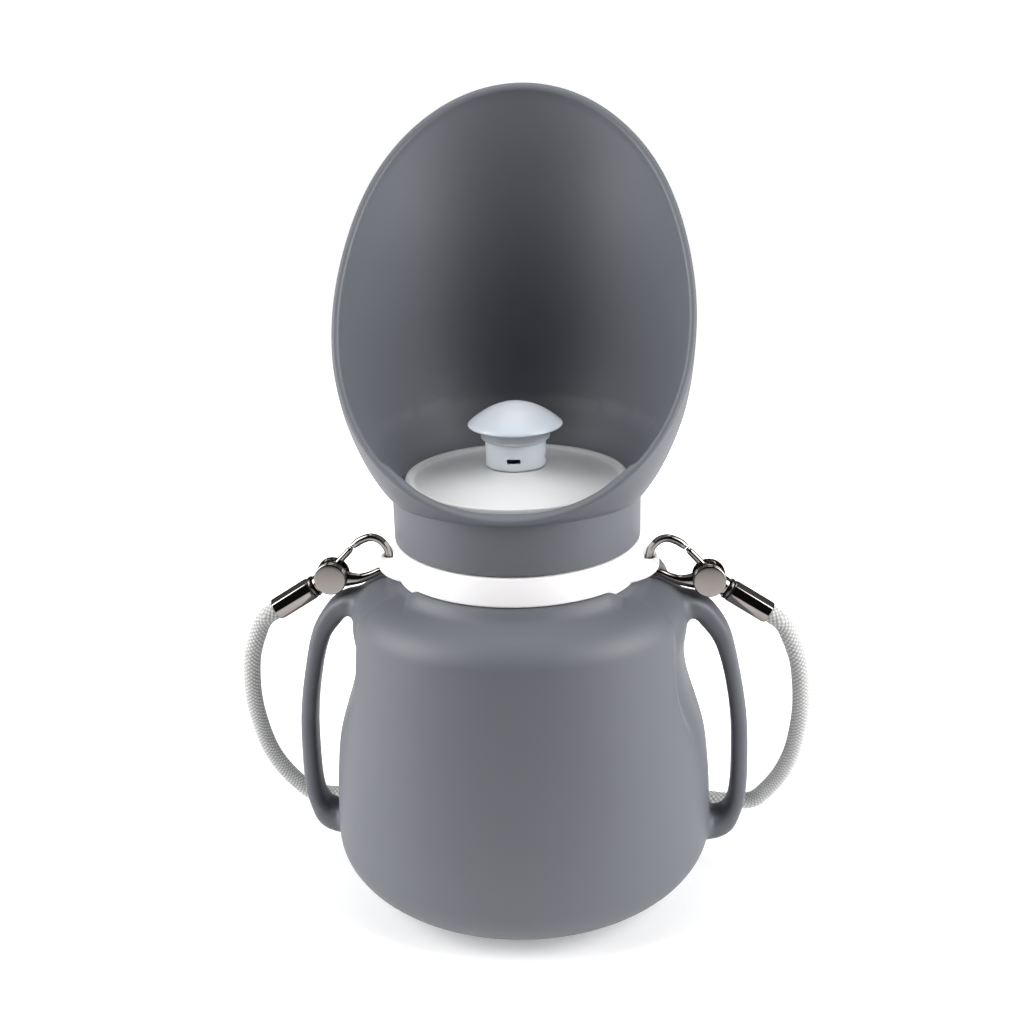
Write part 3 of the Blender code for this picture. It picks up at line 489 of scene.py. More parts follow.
def moulded_bottle():
    """The body and both handles flow into each other with soft fillets, so they are remeshed as one skin. Away
    from the fillets the skin is laid back on the exact shapes."""
    core = [(0, SEAT_Z), (SEAT_R, SEAT_Z), (SEAT_R, SHOULDER_TOP_Z), *body_outline(0), (0, 0)]
    solid = grip_recess(turned("body_core", core, 192))
    handles = [handle(1), handle(-1)]
    skin = new_object("bottle_shell", solid.data.copy())
    bm = bmesh.new()
    for part in (solid, *handles):
        bm.from_mesh(part.data)
    bm.to_mesh(skin.data)
    bm.free()
    remesh = skin.modifiers.new("remesh", "REMESH")
    remesh.mode, remesh.voxel_size = "VOXEL", 0.00115
    relaxed(applied(skin), 8)
    co = points_of(skin)
    from_body, on_body = distances(co, solid)
    both = [distances(co, h, WAIST_R - 0.0035) for h in handles]
    nearer = both[0][0] < both[1][0]
    from_handle = np.where(nearer, both[0][0], both[1][0])
    on_handle = np.where(nearer[:, None], both[0][1], both[1][1])
    target = np.where((from_body < from_handle)[:, None], on_body, on_handle)
    weight = ease(np.maximum(from_body, from_handle), 0.0008, 0.0045)[:, None]
    relaxed(move_points(skin, co * (1 - weight) + target * weight), 3)
    for part in (solid, *handles):
        bpy.data.objects.remove(part)
    mouth_r = NECK_R - NECK_WALL
    inside = body_outline(BODY_WALL)
    cavity = [(0, NECK_TOP_Z), (mouth_r, NECK_TOP_Z), (mouth_r, inside[0][1] + 0.001), *inside, (0, BODY_WALL)]
    combined(skin, [grip_recess(turned("cavity", cavity, 128))], "DIFFERENCE")
    return skin


def ridge(name, radius, low, turn_from, turn_to, half_height):
    """A thread's ridge that runs in and out gently at its ends."""
    t = np.linspace(turn_from, turn_to, round((turn_to - turn_from) * 72))
    a = 2 * math.pi * t
    line = np.stack([radius * np.cos(a), radius * np.sin(a), low + THREAD_PITCH * t], 1)
    size = half_height * (0.25 + 0.75 * ease(np.minimum(t - turn_from, turn_to - t), 0, 0.12))
    return swept(name, line, size, size, power=2.4, sides=12, normal=(0, 0, 1))


def seat_rim(way, columns=112):
    """The shoulder sweeps up to the lanyard ring and hides its foot, at the front or the back. It grows out of
    the shoulder's step and ends before the two lugs."""
    foot_r, low, top = SEAT_R - 0.0004, SHOULDER_TOP_Z - 0.0020, RING_Z + 0.0023
    rise = [(0.0080, -0.0018), (0.0055, -0.0007), (0.0035, 0.0001), (0.0020, 0.0013), (0.0007, 0.0031)]
    sweep = [(RING_LOW_R + out, SHOULDER_TOP_Z + up) for out, up in rise]
    sweep = smooth_through([*sweep, (RING_LOW_R - 0.0001, top - 0.0004)], 3)
    section = np.array([(foot_r, low), *sweep, (RING_LOW_R - 0.0005, top), (SEAT_R + 0.0001, top)])
    grid = []
    for angle in np.linspace(RIM_START, 180 - RIM_START, columns):
        grown = ease(min(angle, 180 - angle), RIM_START - 1.5, RIM_FULL)
        out = foot_r + (section[:, :1] - foot_r) * grown
        up = low + (section[:, 1:] - low) * grown
        a = math.radians(angle)
        grid.append(out * np.array([math.cos(a), way * math.sin(a), 0]) + up * np.array([0, 0, 1]))
    return from_grid(f"seat_rim_{way}", np.array(grid), caps=True, sharp=60)


def bottle_neck():
    """A threaded neck over the collar that the lanyard ring turns round."""
    collar_r, mouth_r = NECK_R + THREAD_DEPTH + 0.0003, NECK_R - NECK_WALL
    outline = [
        (mouth_r, NECK_TOP_Z),
        (NECK_R, NECK_TOP_Z),
        (NECK_R, RING_TOP_Z + 0.0006),
        (collar_r, RING_TOP_Z - 0.0003),
        (collar_r, SEAT_Z - 0.0015),
        (mouth_r, SEAT_Z - 0.0015),
    ]
    neck = turned("neck", softened(outline, 0.0007, closed=True), closed=True)
    thread_r = NECK_R + THREAD_DEPTH - RIDGE_R
    return combined(neck, [ridge("neck_thread", thread_r, RING_TOP_Z + 0.0029, 0, 1.5, RIDGE_R)], "UNION")


piece(moulded_bottle(), "bottle", grey, ["bottle_body"])
for way in (-1, 1):
    piece(seat_rim(way), "bottle", grey)
piece(bottle_neck(), "bottle", grey)


# ---------------------------------------------------------------- lanyard ring
def rounded_disc(name, x, low, high, radius, edge):
    outline = softened([(0, high), (radius, high), (radius, low), (0, low)], [0, edge, edge, 0], steps=6)
    return place(turned(name, outline, 192), Matrix.Translation((x, 0, 0)))


def lanyard_ring():
    bore = NECK_R + THREAD_DEPTH + 0.0006
    band_z = RING_Z + 0.0026
    band = [
        (bore, RING_TOP_Z),
        (RING_HIGH_R, RING_TOP_Z),
        (RING_LOW_R, band_z),
        (SEAT_R - 0.0003, band_z),
        (SEAT_R - 0.0003, RING_Z),
        (bore, RING_Z),
    ]
    band = softened(band, [0.0004, 0.0010, 0.0009, 0.0002, 0.0003, 0.0003], closed=True)
    ring = turned("white_ring", band, 192, closed=True)
    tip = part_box("lanyard_ring")[1].x
    lugs, holes = [], []
    for side in (1, -1):
        lug_r, high = 0.0184, LUG_Z + LUG_T
        lug = rounded_disc(f"lug{side}", side * (tip - lug_r), LUG_Z, high, lug_r, 0.0011)
        core = turned("core", [(0, 0.2), (0.0380, 0.2), (0.0380, 0.05), (0, 0.05)], 192)
        lugs.append(combined(lug, [core], "DIFFERENCE"))
        wide = LUG_HOLE_R + 0.0006
        hole = [(0, RING_TOP_Z + 0.002), (LUG_HOLE_R, RING_TOP_Z + 0.002), (LUG_HOLE_R, high - 0.0006)]
        hole += [(LUG_HOLE_R, LUG_Z + 0.0006), (wide, LUG_Z - 0.0001)]
        hole += [(wide, LUG_Z - 0.001), (0, LUG_Z - 0.001)]
        holes.append(place(turned(f"hole{side}", hole, 48), Matrix.Translation((side * HOLE_X, 0, 0))))
    combined(ring, lugs, "UNION")
    return combined(ring, holes, "DIFFERENCE", sharp=45)


piece(lanyard_ring(), "bottle", white, ["lanyard_ring"])


# ---------------------------------------------------------------- funnel
def bell_radius():
    """Outer radius of the cup against height, as a table."""
    rise, flare = 0.1230, FUNNEL_R - SKIRT_R
    shape = [(1.0, 0.60), (0.99, 0.45), (0.94, 0.33), (0.83, 0.235), (0.65, 0.155)]
    shape += [(0.41, 0.080), (0.15, 0.022)]
    top = [(FUNNEL_R - 0.0042, CREASE_Z + rise + 0.012), (FUNNEL_R - 0.0014, CREASE_Z + 0.93 * rise)]
    cup = [(SKIRT_R + out * flare, CREASE_Z + up * rise) for out, up in shape]
    line = smooth_through([*top, (FUNNEL_R, CREASE_Z + 0.78 * rise), *cup, (SKIRT_R, CREASE_Z)], 10)
    return line[::-1]


BELL = bell_radius()


def outer_radius(z):
    return np.interp(z, BELL[:, 1], BELL[:, 0])


def inner_radius(z):
    """The cup's inner face: a thick foot that runs down into the drain plate's pocket."""
    rise = [-0.0014, -0.0011, -0.0004, 0.0021, 0.0051, 0.0085, 0.0120]
    reach = [PLATE_R + 0.0003, PLATE_R + 0.0018, 0.0385, 0.0409, 0.0430, 0.0446, 0.0465]
    foot = np.interp(z - PLATE_RIM_Z, rise, reach)
    return np.where(z < PLATE_RIM_Z + rise[-1], foot, outer_radius(z) - 0.0024)


def funnel_cup(columns=224, rows=52):
    """Each column runs up the cup's outer face to the sloping rim, over the rounded lip and down inside."""
    front_r, front_z, back_r = 0.0420, PLATE_RIM_Z - 0.0028, 0.0536
    slope = (FUNNEL_TOP_Z - 0.0006 - front_z) / (front_r + back_r)
    tilt = math.atan(slope)
    up_front = np.array([0, -math.sin(tilt), math.cos(tilt)])

    def rim_height(radius_of, sine, low, drop):
        high = FUNNEL_TOP_Z + 0.01
        for _ in range(50):
            middle = (low + high) / 2
            if middle < front_z + slope * (front_r + radius_of(middle) * sine) - drop:
                low = middle
            else:
                high = middle
        return low

    web = SKIRT_BORE_R - 0.0059
    foot = [
        (PLATE_R + 0.0003, PLATE_RIM_Z - 0.0014),
        (PLATE_R + 0.0003, WEB_Z + 0.0025),
        (web, WEB_Z + 0.0025),
        (web, WEB_Z),
        (SKIRT_BORE_R, WEB_Z),
        (SKIRT_BORE_R, FUNNEL_Z),
        (SKIRT_R, FUNNEL_Z),
        (SKIRT_R, CREASE_Z - 0.0002),
    ]
    foot = softened(foot, [0, 0.0003, 0.0003, 0.0003, 0.0004, 0.0005, 0.0011, 0], steps=3)
    grid = []
    for k in range(columns):
        a = 2 * math.pi * (k + 0.5) / columns
        direction = np.array([math.cos(a), math.sin(a), 0])
        front = ease(-math.sin(a), 0.3, 1)
        out_z = rim_height(outer_radius, math.sin(a), CREASE_Z + 0.0002, 0)
        in_z = rim_height(inner_radius, math.sin(a), PLATE_RIM_Z - 0.0013, 0.0031 * front)
        climb = np.linspace(0, 1, rows) ** 1.35
        zs = CREASE_Z + (out_z - CREASE_Z) * climb
        raised = zs + 0.0014 * front * (1 - climb)
        outside = outer_radius(zs)[:, None] * direction + raised[:, None] * np.array([0, 0, 1])
        zs = PLATE_RIM_Z - 0.0014 + (in_z - PLATE_RIM_Z + 0.0014) * climb[::-1]
        inside = inner_radius(zs)[:, None] * direction + zs[:, None] * np.array([0, 0, 1])
        middle, half = (outside[-1] + inside[0]) / 2, (outside[-1] - inside[0]) / 2
        turn = np.linspace(0, math.pi, 11)[1:-1, None]
        lip = 0.0010 + 0.0005 * front
        rim = middle + half * np.cos(turn) + up_front * lip * np.sin(turn)
        lower = foot[1:, :1] * direction + foot[1:, 1:] * np.array([0, 0, 1])
        grid.append(np.vstack([outside, rim, inside, lower]))
    cup = from_grid("funnel_cup", np.array(grid).transpose(1, 0, 2), wrap_rows=True, sharp=32)
    inner_thread = SKIRT_BORE_R - THREAD_DEPTH + RIDGE_R + 0.0002
    thread = ridge("skirt_thread", inner_thread, FUNNEL_Z + 0.0026 - THREAD_PITCH / 2, 0.56, 1.78, RIDGE_R)
    return combined(cup, [thread], "UNION", sharp=32)


piece(funnel_cup(), "funnel", grey, ["funnel"])


# ---------------------------------------------------------------- drain plate and valve
def drain_plate():
    hole_r, centre_z, gutter_z = TUBE_R - TUBE_WALL + 0.0006, PLATE_RIM_Z + 0.0033, PLATE_RIM_Z - 0.0011
    top = smooth_through(
        [
            (TUBE_R + 0.001, centre_z),
            (0.6 * PLATE_R, 0.45 * centre_z + 0.55 * gutter_z + 0.0001),
            (PLATE_R - 0.0040, gutter_z + 0.0002),
        ],
        8,
    ).tolist()
    outline = [
        (hole_r, centre_z),
        *top,
        (PLATE_R - 0.0027, gutter_z),
        (PLATE_R - 0.0015, PLATE_RIM_Z),
        (PLATE_R, PLATE_RIM_Z),
        (PLATE_R, PLATE_Z),
        (PLATE_R - 0.0052, PLATE_Z),
        (PLATE_R - 0.0058, gutter_z - 0.0012),
        (0.6 * PLATE_R, 0.45 * centre_z + 0.55 * gutter_z - 0.0018),
        (TUBE_R + 0.001, centre_z - 0.0018),
        (hole_r, centre_z - 0.0018),
    ]
    return turned("domed_drain_plate", softened(outline, 0.0005, closed=True, steps=3), closed=True)


def upright_tube():
    """A short tube with four drain slots at its foot and a three-armed guide for the stem."""
    foot, bore = TUBE_TOP_Z - TUBE_H, TUBE_R - TUBE_WALL
    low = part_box("valve_tube")[0].z
    spigot = bore + 0.0003
    outline = [(TUBE_R, TUBE_TOP_Z), (TUBE_R, foot), (spigot, foot), (spigot, low), (spigot - 0.001, low)]
    outline += [(spigot - 0.001, foot + 0.0008), (bore, foot + 0.0012), (bore, TUBE_TOP_Z)]
    tube = turned("upright_tube", softened(outline, 0.0003, closed=True, steps=3), 96, closed=True)
    guide_z, wide, narrow = foot + 0.0046, STEM_R + 0.0017, STEM_R + 0.0003
    hub = [(wide, guide_z + 0.0016), (wide, guide_z), (narrow, guide_z), (narrow, guide_z + 0.0016)]
    parts = [turned("guide_hub", softened(hub, 0.0002, closed=True, steps=2), 48, closed=True)]
    for count in range(3):
        turn = Matrix.Rotation(math.radians(90 + 120 * count), 4, "Z")
        start, end = (STEM_R + 0.0009, -0.0007, guide_z + 0.0001), (bore + 0.0005, 0.0007, guide_z + 0.0015)
        parts.append(block("spoke", start, end, turn))
    combined(tube, parts, "UNION")
    slots = []
    for count in range(4):
        turn = Matrix.Rotation(math.radians(90 * count - 90), 4, "Z")
        start, end = (bore - 0.0012, -0.0022, foot + 0.0023), (TUBE_R + 0.001, 0.0022, foot + 0.0040)
        slots.append(softened_edges(block("slot", start, end, turn), 0.0004, 2))
    return combined(tube, slots, "DIFFERENCE")


def mushroom_cap():
    edge_z = CAP_TOP_Z - CAP_RISE
    foot_z, bore = TUBE_TOP_Z - 0.0008, TUBE_R + 0.0003
    collar = bore + 0.0011

    def dome(r):
        return edge_z + CAP_RISE * (1 - (r / CAP_R) ** 2)

    top = [(CAP_R * p, dome(CAP_R * p)) for p in np.linspace(0, 0.985, 22)]
    under = [
        (CAP_R, edge_z - 0.0003),
        (CAP_R - 0.0007, edge_z - 0.0008),
        (collar + 0.0011, dome(collar + 0.0011) - 0.0022),
        (collar, dome(collar) - 0.0036),
        (collar, foot_z + 0.0004),
        (collar - 0.0006, foot_z),
        (bore, foot_z),
        (bore, dome(bore) - 0.0012),
        (0.5 * bore, dome(0.5 * bore) - 0.0012),
        (STEM_R + 0.0008, dome(STEM_R) - 0.0013),
        (STEM_R, dome(STEM_R) - 0.0024),
    ]
    clip_z = TUBE_TOP_Z - TUBE_H + 0.0043
    stem = [(STEM_R, clip_z), (0.0015, clip_z), (0.0015, clip_z - 0.0020), (0.0011, clip_z - 0.0024)]
    corners = [0.0004] * len(under + stem)
    outline = softened([*top, *under, *stem, (0, clip_z - 0.0024)], [*([0] * len(top)), *corners, 0], steps=3)
    return turned("mushroom_cap", outline, 128)


piece(drain_plate(), "funnel", plate_white, ["drain_plate"])
# the tube gets the lighter copy of the milky material: painted light against the cap's shade
piece(upright_tube(), "funnel", milky_tube_painted_lighter, ["valve_tube"])
piece(mushroom_cap(), "valve_cap", milky, ["valve_cap"])


# ---------------------------------------------------------------- snap hooks
FRONT = Vector((0, -1, 0))


def hook_point(side, along, up):
    """A place on the hook from the lug's hole, in shares of the hook's reach."""
    return Vector((side * (HOLE_X + along * HOOK_REACH), 0, LUG_MID_Z + up * HOOK_REACH))


def swivel_point(side, distance):
    drop = distance * math.sin(SWIVEL_DROP)
    return Vector((side * (HUB_X + distance * math.cos(SWIVEL_DROP)), 0, HUB_Z - drop))


def swivel_rod(name, side, outline, steps=48, sharp=38):
    return rod(name, swivel_point(side, 0), swivel_point(side, 0.01), outline, steps, sharp)


def swivel_plug(side, radius, start, stop, steps=48):
    """A plain plug on the swivel's axis, to cut a bore with."""
    return swivel_rod("swivel_plug", side, [(0, start), (radius, start), (radius, stop), (0, stop)], steps)


def cross_rod(name, middle, half, radius, edge=0, steps=3, sides=24):
    """A plain round piece that lies front to back through a point."""
    outline = [(0, 0), (radius, 0), (radius, 2 * half), (0, 2 * half)]
    outline = softened(outline, [0, edge, edge, 0], steps=steps)
    return rod(name, middle - FRONT * half, middle + FRONT * half, outline, sides)


def hook_arm(side, end):
    """The bent wire: wide where it leaves the hub, up through the lug, round and down to a slimmer nose."""
    route = [
        (0.860, -0.330),
        (0.740, -0.340),
        (0.650, -0.343),
        (0.510, -0.332),
        (0.340, -0.271),
        (0.196, -0.204),
        (0.064, -0.168),
        (0.006, -0.085),
        (0.000, 0.034),
        (0.008, 0.137),
        (0.052, 0.255),
        (0.160, 0.369),
        (0.304, 0.410),
        (0.464, 0.358),
        (0.575, 0.284),
        (0.606, 0.258),
    ]
    steps = 7
    line = smooth_through([hook_point(side, *at) for at in route], steps)
    passed = np.arange(len(line)) / steps
    flare, nose = 1 - ease(passed, 0.0, 4.4), ease(passed, 13.6, 14.2)
    wide = WIRE_R * (1 + 0.45 * flare - 0.15 * nose)
    high = WIRE_R * (1 + 1.15 * flare - 0.15 * nose)
    return swept(f"hook_arm_{end}", line, wide, high, sides=28)


def hook_frame(side, end, hub, pivot):
    """Drum, boss and arm in one casting, with the gate's slot and the bores for its pin, spring and swivel."""
    drum = cross_rod(f"hook_frame_body_{end}", hub, HUB_HALF, HUB_R, 0.0009, 5, 80)
    boss_end = HUB_R + 0.0012
    boss = softened([(0, 0), (0.0034, 0.001), (0.0031, boss_end), (0, boss_end)], [0, 0, 0.0006, 0], steps=4)
    slot_z = PIVOT_Z - 0.0022
    low, high = (hub.x - 2 * HUB_R, -0.0016, slot_z), (hub.x + 2 * HUB_R, 0.0016, slot_z + 2 * HUB_R)
    combined(drum, [block("gate_slot", low, high)], "DIFFERENCE")
    combined(drum, [swivel_rod("boss", side, boss), hook_arm(side, end)], "UNION")
    spring_x = pivot.x - side * 0.0004
    spring_bore = [(0, 0), (0.0015, 0), (0.0015, 0.0044), (0, 0.0044)]
    cutters = [
        cross_rod("pin_hole", pivot, 0.006, PIN_R),
        swivel_plug(side, 0.00288, 0.0028, 0.0046),
        swivel_plug(side, 0.0015, 0.0040, HUB_R + 0.0030),
        rod("spring_bore", (spring_x, 0, slot_z - 0.0034), (spring_x, 0, slot_z), spring_bore, 32),
    ]
    return combined(drum, cutters, "DIFFERENCE", sharp=35)


def hub_disc(end, hub):
    """The disc on the hub's face is slightly domed."""
    flat = HUB_R - 0.0004
    disc = [(0, 0), (HUB_R, 0), (HUB_R, 0.0007), (flat, 0.0010)]
    dome = [(flat * t, 0.0010 + 0.0002 * (1 - t * t)) for t in np.linspace(0.8, 0, 8)]
    disc = softened([*disc, *dome], [0, 0.0002, 0.0002, 0.0002, *([0] * len(dome))], steps=3)
    at = hub + FRONT * (HUB_HALF + 0.0003)
    return rod(f"hub_disc_{end}", at, at + FRONT * 0.001, disc, 96)


def gate_lever(side, end, pivot):
    """A knuckle on the pin, a slim bar up to the nose and a thumb tab."""
    tip = hook_point(side, 0.628, 0.230)
    gate = cross_rod(f"gate_lever_{end}", pivot, 0.0013, 0.0018, 0.0004, 3, 40)
    length = (tip - pivot).length
    bar = [(0, 0), (0.00115, 0.0005), (0.00110, length - 0.0012), (0.00075, length - 0.0006), (0.00070, length)]
    bar = rod("bar", pivot, tip, softened([*bar, (0, length)], [0, 0.0002, 0.0004, 0.0003, 0.0003, 0]), 32)
    tab = cross_rod("tab", pivot + Vector((side * 0.0021, 0, 0.0013)), 0.0011, 0.0012, 0.0003, 3, 32)
    combined(gate, [bar, tab], "UNION")
    return combined(gate, [cross_rod("gate_bore", pivot, 0.006, PIN_R)], "DIFFERENCE", sharp=35)


def swivel_collar(side, end):
    """A headed stud: its head turns in the hub, its collar shows and its tail is held in the ferrule."""
    stud = [
        (0, 0.0031),
        (0.00228, 0.0031),
        (0.00228, 0.0040),
        (0.0012, 0.0041),
        (0.0012, 0.0068),
        (0.0036, 0.0068),
        (0.0036, 0.0079),
        (0.00204, 0.0079),
        (0.00204, 0.0124),
        (0, 0.0124),
    ]
    return swivel_rod(f"swivel_collar_{end}", side, softened(stud, 0.0003, steps=3))


def eight_sided_ferrule(side, end):
    """An eight-sided end with chamfered faces, bored for the stud's tail and open for the cord."""
    start, mouth = FERRULE_START, FERRULE_START + FERRULE_L
    body = [(0, start), (0.0036, start), (0.0039, start + 0.0008)]
    body += [(0.0039, mouth - 0.0005), (0.0036, mouth), (0, mouth)]
    ferrule = swivel_rod(f"eight_sided_ferrule_{end}", side, body, 8, sharp=20)
    softened_edges(ferrule, 0.00025, 3, angle=25)
    bores = [swivel_plug(side, 0.00234, start - 0.001, start + 0.0050, 40)]
    bores.append(swivel_plug(side, CORD_R + 0.0001, mouth - 0.0022, mouth + 0.001))
    return combined(ferrule, bores, "DIFFERENCE", sharp=30)


def snap_hook(side):
    end = "right" if side > 0 else "left"
    hub, pivot = Vector((side * HUB_X, 0, HUB_Z)), Vector((side * PIVOT_X, 0, PIVOT_Z))
    hook, gate = f"hook_{end}", f"gate_{end}"
    piece(hook_frame(side, end, hub, pivot), hook, nickel, [f"hook_frame_{end}"])
    piece(hub_disc(end, hub), hook, nickel, [f"hub_cap_{end}"])
    piece(gate_lever(side, end, pivot), gate, nickel, [gate])
    piece(swivel_collar(side, end), "lanyard", dark_steel, [f"swivel_stud_{end}"])
    piece(eight_sided_ferrule(side, end), "lanyard", nickel, [f"ferrule_{end}"])


for side in (1, -1):
    snap_hook(side)


# ---------------------------------------------------------------- cord
def cord_route():
    leaves = FERRULE_START + FERRULE_L + 0.0003
    start = swivel_point(1, leaves)
    right = [swivel_point(1, leaves + 0.0035)]
    right += [Vector((HANDLE_REACH + out, back, share * start.z)) for out, back, share in CORD_HANG]
    for out, angle in CORD_LAY:
        reach, turn = BODY_R + out, math.radians(angle)
        right.append(Vector((reach * math.sin(turn), reach * math.cos(turn), CORD_R + 0.0005)))
    left = [Vector((-p.x, p.y, p.z)) for p in right]
    between = smooth_through([*left, *reversed(right[:-1])], 6)
    return np.vstack([swivel_point(-1, leaves - 0.0015), between, swivel_point(1, leaves - 0.0015)])


def braid_tree(material):
    """A tube along a line whose skin rises in staggered diamonds, where one yarn crosses over another."""
    tree = bpy.data.node_groups.new("round_braid", "GeometryNodeTree")
    face = tree.interface
    face.new_socket("Geometry", in_out="INPUT", socket_type="NodeSocketGeometry")
    for name, kind in (
        ("Diamonds round", "NodeSocketInt"),
        ("Sides", "NodeSocketInt"),
        ("Diamond length", "NodeSocketFloat"),
        ("Groove radius", "NodeSocketFloat"),
        ("Yarn height", "NodeSocketFloat"),
        ("Step", "NodeSocketFloat"),
    ):
        face.new_socket(name, in_out="INPUT", socket_type=kind)
    face.new_socket("Geometry", in_out="OUTPUT", socket_type="NodeSocketGeometry")
    given = add(tree, "NodeGroupInput").outputs

    def math_node(operation, a, b=0.0):
        return add(tree, "ShaderNodeMath", {0: a, 1: b}, operation=operation).outputs[0]

    def captured(geometry, value):
        node = add(tree, "GeometryNodeCaptureAttribute", {"Geometry": geometry})
        node.capture_items.new("FLOAT", "value")
        tree.links.new(value, node.inputs[1])
        return node.outputs[0], node.outputs[1]

    sizes = {"Curve": given["Geometry"], "Length": given["Step"]}
    even = add(tree, "GeometryNodeResampleCurve", sizes, mode="LENGTH")
    line, along = captured(even.outputs[0], add(tree, "GeometryNodeSplineParameter").outputs["Length"])
    sizes = {"Resolution": given["Sides"], "Radius": given["Groove radius"]}
    circle = add(tree, "GeometryNodeCurvePrimitiveCircle", sizes)
    ring, around = captured(circle.outputs[0], add(tree, "GeometryNodeSplineParameter").outputs["Factor"])
    tube = add(tree, "GeometryNodeCurveToMesh", {"Curve": line, "Profile Curve": ring, "Fill Caps": True})
    across = math_node("MULTIPLY", around, given["Diamonds round"])
    down = math_node("DIVIDE", along, given["Diamond length"])
    leaning = [math_node(way, across, down) for way in ("ADD", "SUBTRACT")]
    yarns = [math_node("SINE", math_node("MULTIPLY", lean, math.pi)) for lean in leaning]
    crown = math_node("POWER", math_node("ABSOLUTE", math_node("MULTIPLY", *yarns)), 0.6)
    height = math_node("MULTIPLY", crown, given["Yarn height"])
    outwards = add(tree, "GeometryNodeInputNormal").outputs[0]
    offset = add(tree, "ShaderNodeVectorMath", {0: outwards, 3: height}, operation="SCALE").outputs[0]
    raised = add(tree, "GeometryNodeSetPosition", {"Geometry": tube.outputs[0], "Offset": offset})
    # the crown height is also stored as the mask for the yarn's painted shade in the grooves
    named = {"Geometry": raised.outputs[0], "Name": "yarn_crown_shade_mask", "Value": crown}
    named = add(tree, "GeometryNodeStoreNamedAttribute", named, data_type="FLOAT")
    smooth = add(tree, "GeometryNodeSetShadeSmooth", {0: named.outputs[0]})
    real = add(tree, "GeometryNodeRealizeInstances", {0: smooth.outputs[0]})
    painted = add(tree, "GeometryNodeSetMaterial", {"Geometry": real.outputs[0], "Material": material})
    out = add(tree, "NodeGroupOutput")
    tree.links.new(painted.outputs[0], out.inputs[0])
    return tree


def braided_cord():
    route = cord_route()
    curve = bpy.data.curves.new("cord_line", "CURVE")
    curve.dimensions, curve.twist_mode = "3D", "MINIMUM"
    spline = curve.splines.new("POLY")
    spline.points.add(len(route) - 1)
    for point, at in zip(spline.points, route):
        point.co = (*at, 1)
    obj = new_object("cord_line", curve)
    step = obj.modifiers.new("braid", "NODES")
    step.node_group = braid_tree(yarn)
    sizes = {
        "Diamonds round": 10,
        "Sides": 60,
        "Diamond length": 0.00162,
        "Groove radius": CORD_R - 0.00040,
        "Yarn height": 0.00036,
        "Step": 0.00027,
    }
    for socket in step.node_group.interface.items_tree:
        if socket.name in sizes:
            step[socket.identifier] = sizes[socket.name]
    braid = new_object("braided_cord", evaluated_mesh(obj))
    bpy.data.objects.remove(obj)
    piece(braid, "lanyard", yarn, ["lanyard_cord"])


braided_cord()

# ---------------------------------------------------------------- hidden pieces keep their shape
hidden = {"neck_gasket": silicone, "stem_clip": silicone, "tube_lock_ring": milky}
for end in ("left", "right"):
    hidden[f"gate_pin_{end}"] = dark_steel
    hidden[f"gate_spring_{end}"] = dark_steel
for node, material in hidden.items():
    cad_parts[node].data.materials.clear()
    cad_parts[node].data.materials.append(material)


# ---------------------------------------------------------------- floor, light and camera
def painted_glow_floor():
    """White paper floor with painted glow: it glows strongly behind the object, less under it and not at all in
    front.
    """
    made = bpy.data.materials.new("pale_paper")
    made.use_nodes = True
    tree = made.node_tree
    body = tree.nodes["Principled BSDF"]
    body.inputs["Base Color"].default_value = srgb("#f7f7f7")
    body.inputs["Roughness"].default_value = 0.9
    body.inputs["Emission Color"].default_value = (1, 1, 1, 1)
    where = add(tree, "ShaderNodeTexCoord").outputs["Object"]
    apart = add(tree, "ShaderNodeSeparateXYZ", {0: where}).outputs
    # painted glow: emission rises from nothing in front of the object to 0.9 behind it
    fade = {0: apart["Y"], 1: -0.25, 2: 0.35, 3: 0.0, 4: 0.9}
    painted_glow = add(tree, "ShaderNodeMapRange", fade, interpolation_type="SMOOTHSTEP")
    tree.links.new(painted_glow.outputs[0], body.inputs["Emission Strength"])
    floor = turned("paper_floor", [(0, 0), (0.5, 0), (8, 0)], 96)
    floor.data.flip_normals()
    floor.data.materials.append(made)


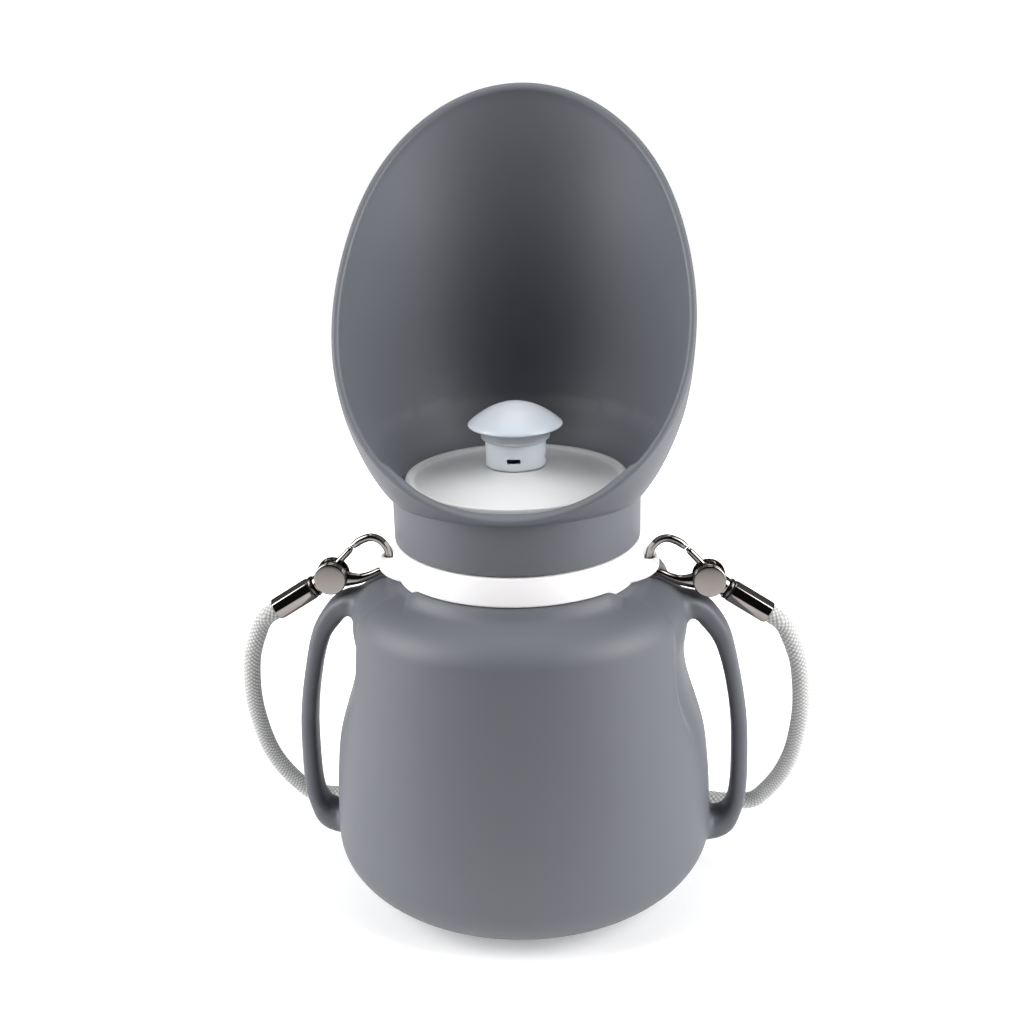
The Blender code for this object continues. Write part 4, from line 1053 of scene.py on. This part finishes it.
def studio_world():
    """Dim room in front, brighter at the sides and behind; looked at directly it is a white wall."""
    world = bpy.data.worlds.new("studio")
    bpy.context.scene.world = world
    world.use_nodes = True
    tree = world.node_tree
    sky = tree.nodes["Background"]
    sky.inputs["Color"].default_value = (1, 1, 1, 1)
    where = add(tree, "ShaderNodeTexCoord").outputs["Generated"]
    apart = add(tree, "ShaderNodeSeparateXYZ", {0: where}).outputs
    fade = {0: apart["Y"], 1: -0.5, 2: 0.1, 3: 0.01, 4: 0.16}
    ramp = add(tree, "ShaderNodeMapRange", fade, interpolation_type="SMOOTHSTEP")
    seen = add(tree, "ShaderNodeLightPath").outputs["Is Camera Ray"]
    strength = add(tree, "ShaderNodeMix", {0: seen, 2: ramp.outputs[0], 3: 1.05})
    tree.links.new(strength.outputs[0], sky.inputs["Strength"])


def soft_light(name, at, aim, size, power, spread=180):
    light = bpy.data.lights.new(name, "AREA")
    light.spread = math.radians(spread)
    light.shape, light.size, light.size_y, light.energy = "RECTANGLE", size[0], size[1], power
    obj = new_object(name, light)
    obj.location = at
    obj.rotation_euler = (Vector(aim) - Vector(at)).to_track_quat("-Z", "Y").to_euler()


def camera():
    """A little above the funnel's top and to the right, looking down at the bottle."""
    lens = bpy.data.cameras.new("camera")
    lens.lens, lens.sensor_width, lens.clip_start = 48.516, 36, 0.01
    lens.shift_x = -0.0051
    eye = new_object("camera", lens)
    distance, height = 0.420, 0.271
    turn, pitch, roll = math.radians(4.5), 0.3296, 0.024
    ahead = Vector((-math.sin(turn) * math.cos(pitch), math.cos(turn) * math.cos(pitch), -math.sin(pitch)))
    right = Vector((math.cos(turn), math.sin(turn), 0))
    up = right.cross(ahead)
    across, over = right * math.cos(roll) - up * math.sin(roll), right * math.sin(roll) + up * math.cos(roll)
    place_at = Matrix.Translation((distance * math.sin(turn), -distance * math.cos(turn), height))
    eye.matrix_world = place_at @ Matrix((across, over, -ahead)).transposed().to_4x4()
    return eye


painted_glow_floor()
studio_world()
for side, name in ((-1, "left_strip"), (1, "right_strip")):
    soft_light(name, (side * 0.73, -0.17, 0.50), (0, 0, 0.12), (0.60, 1.1), 3.4, 80)
soft_light("overhead", (0, 0.15, 0.9), (0, 0, 0.1), (0.6, 0.5), 2.0)
scene = bpy.context.scene
scene.camera = camera()
scene.view_settings.view_transform = "Standard"
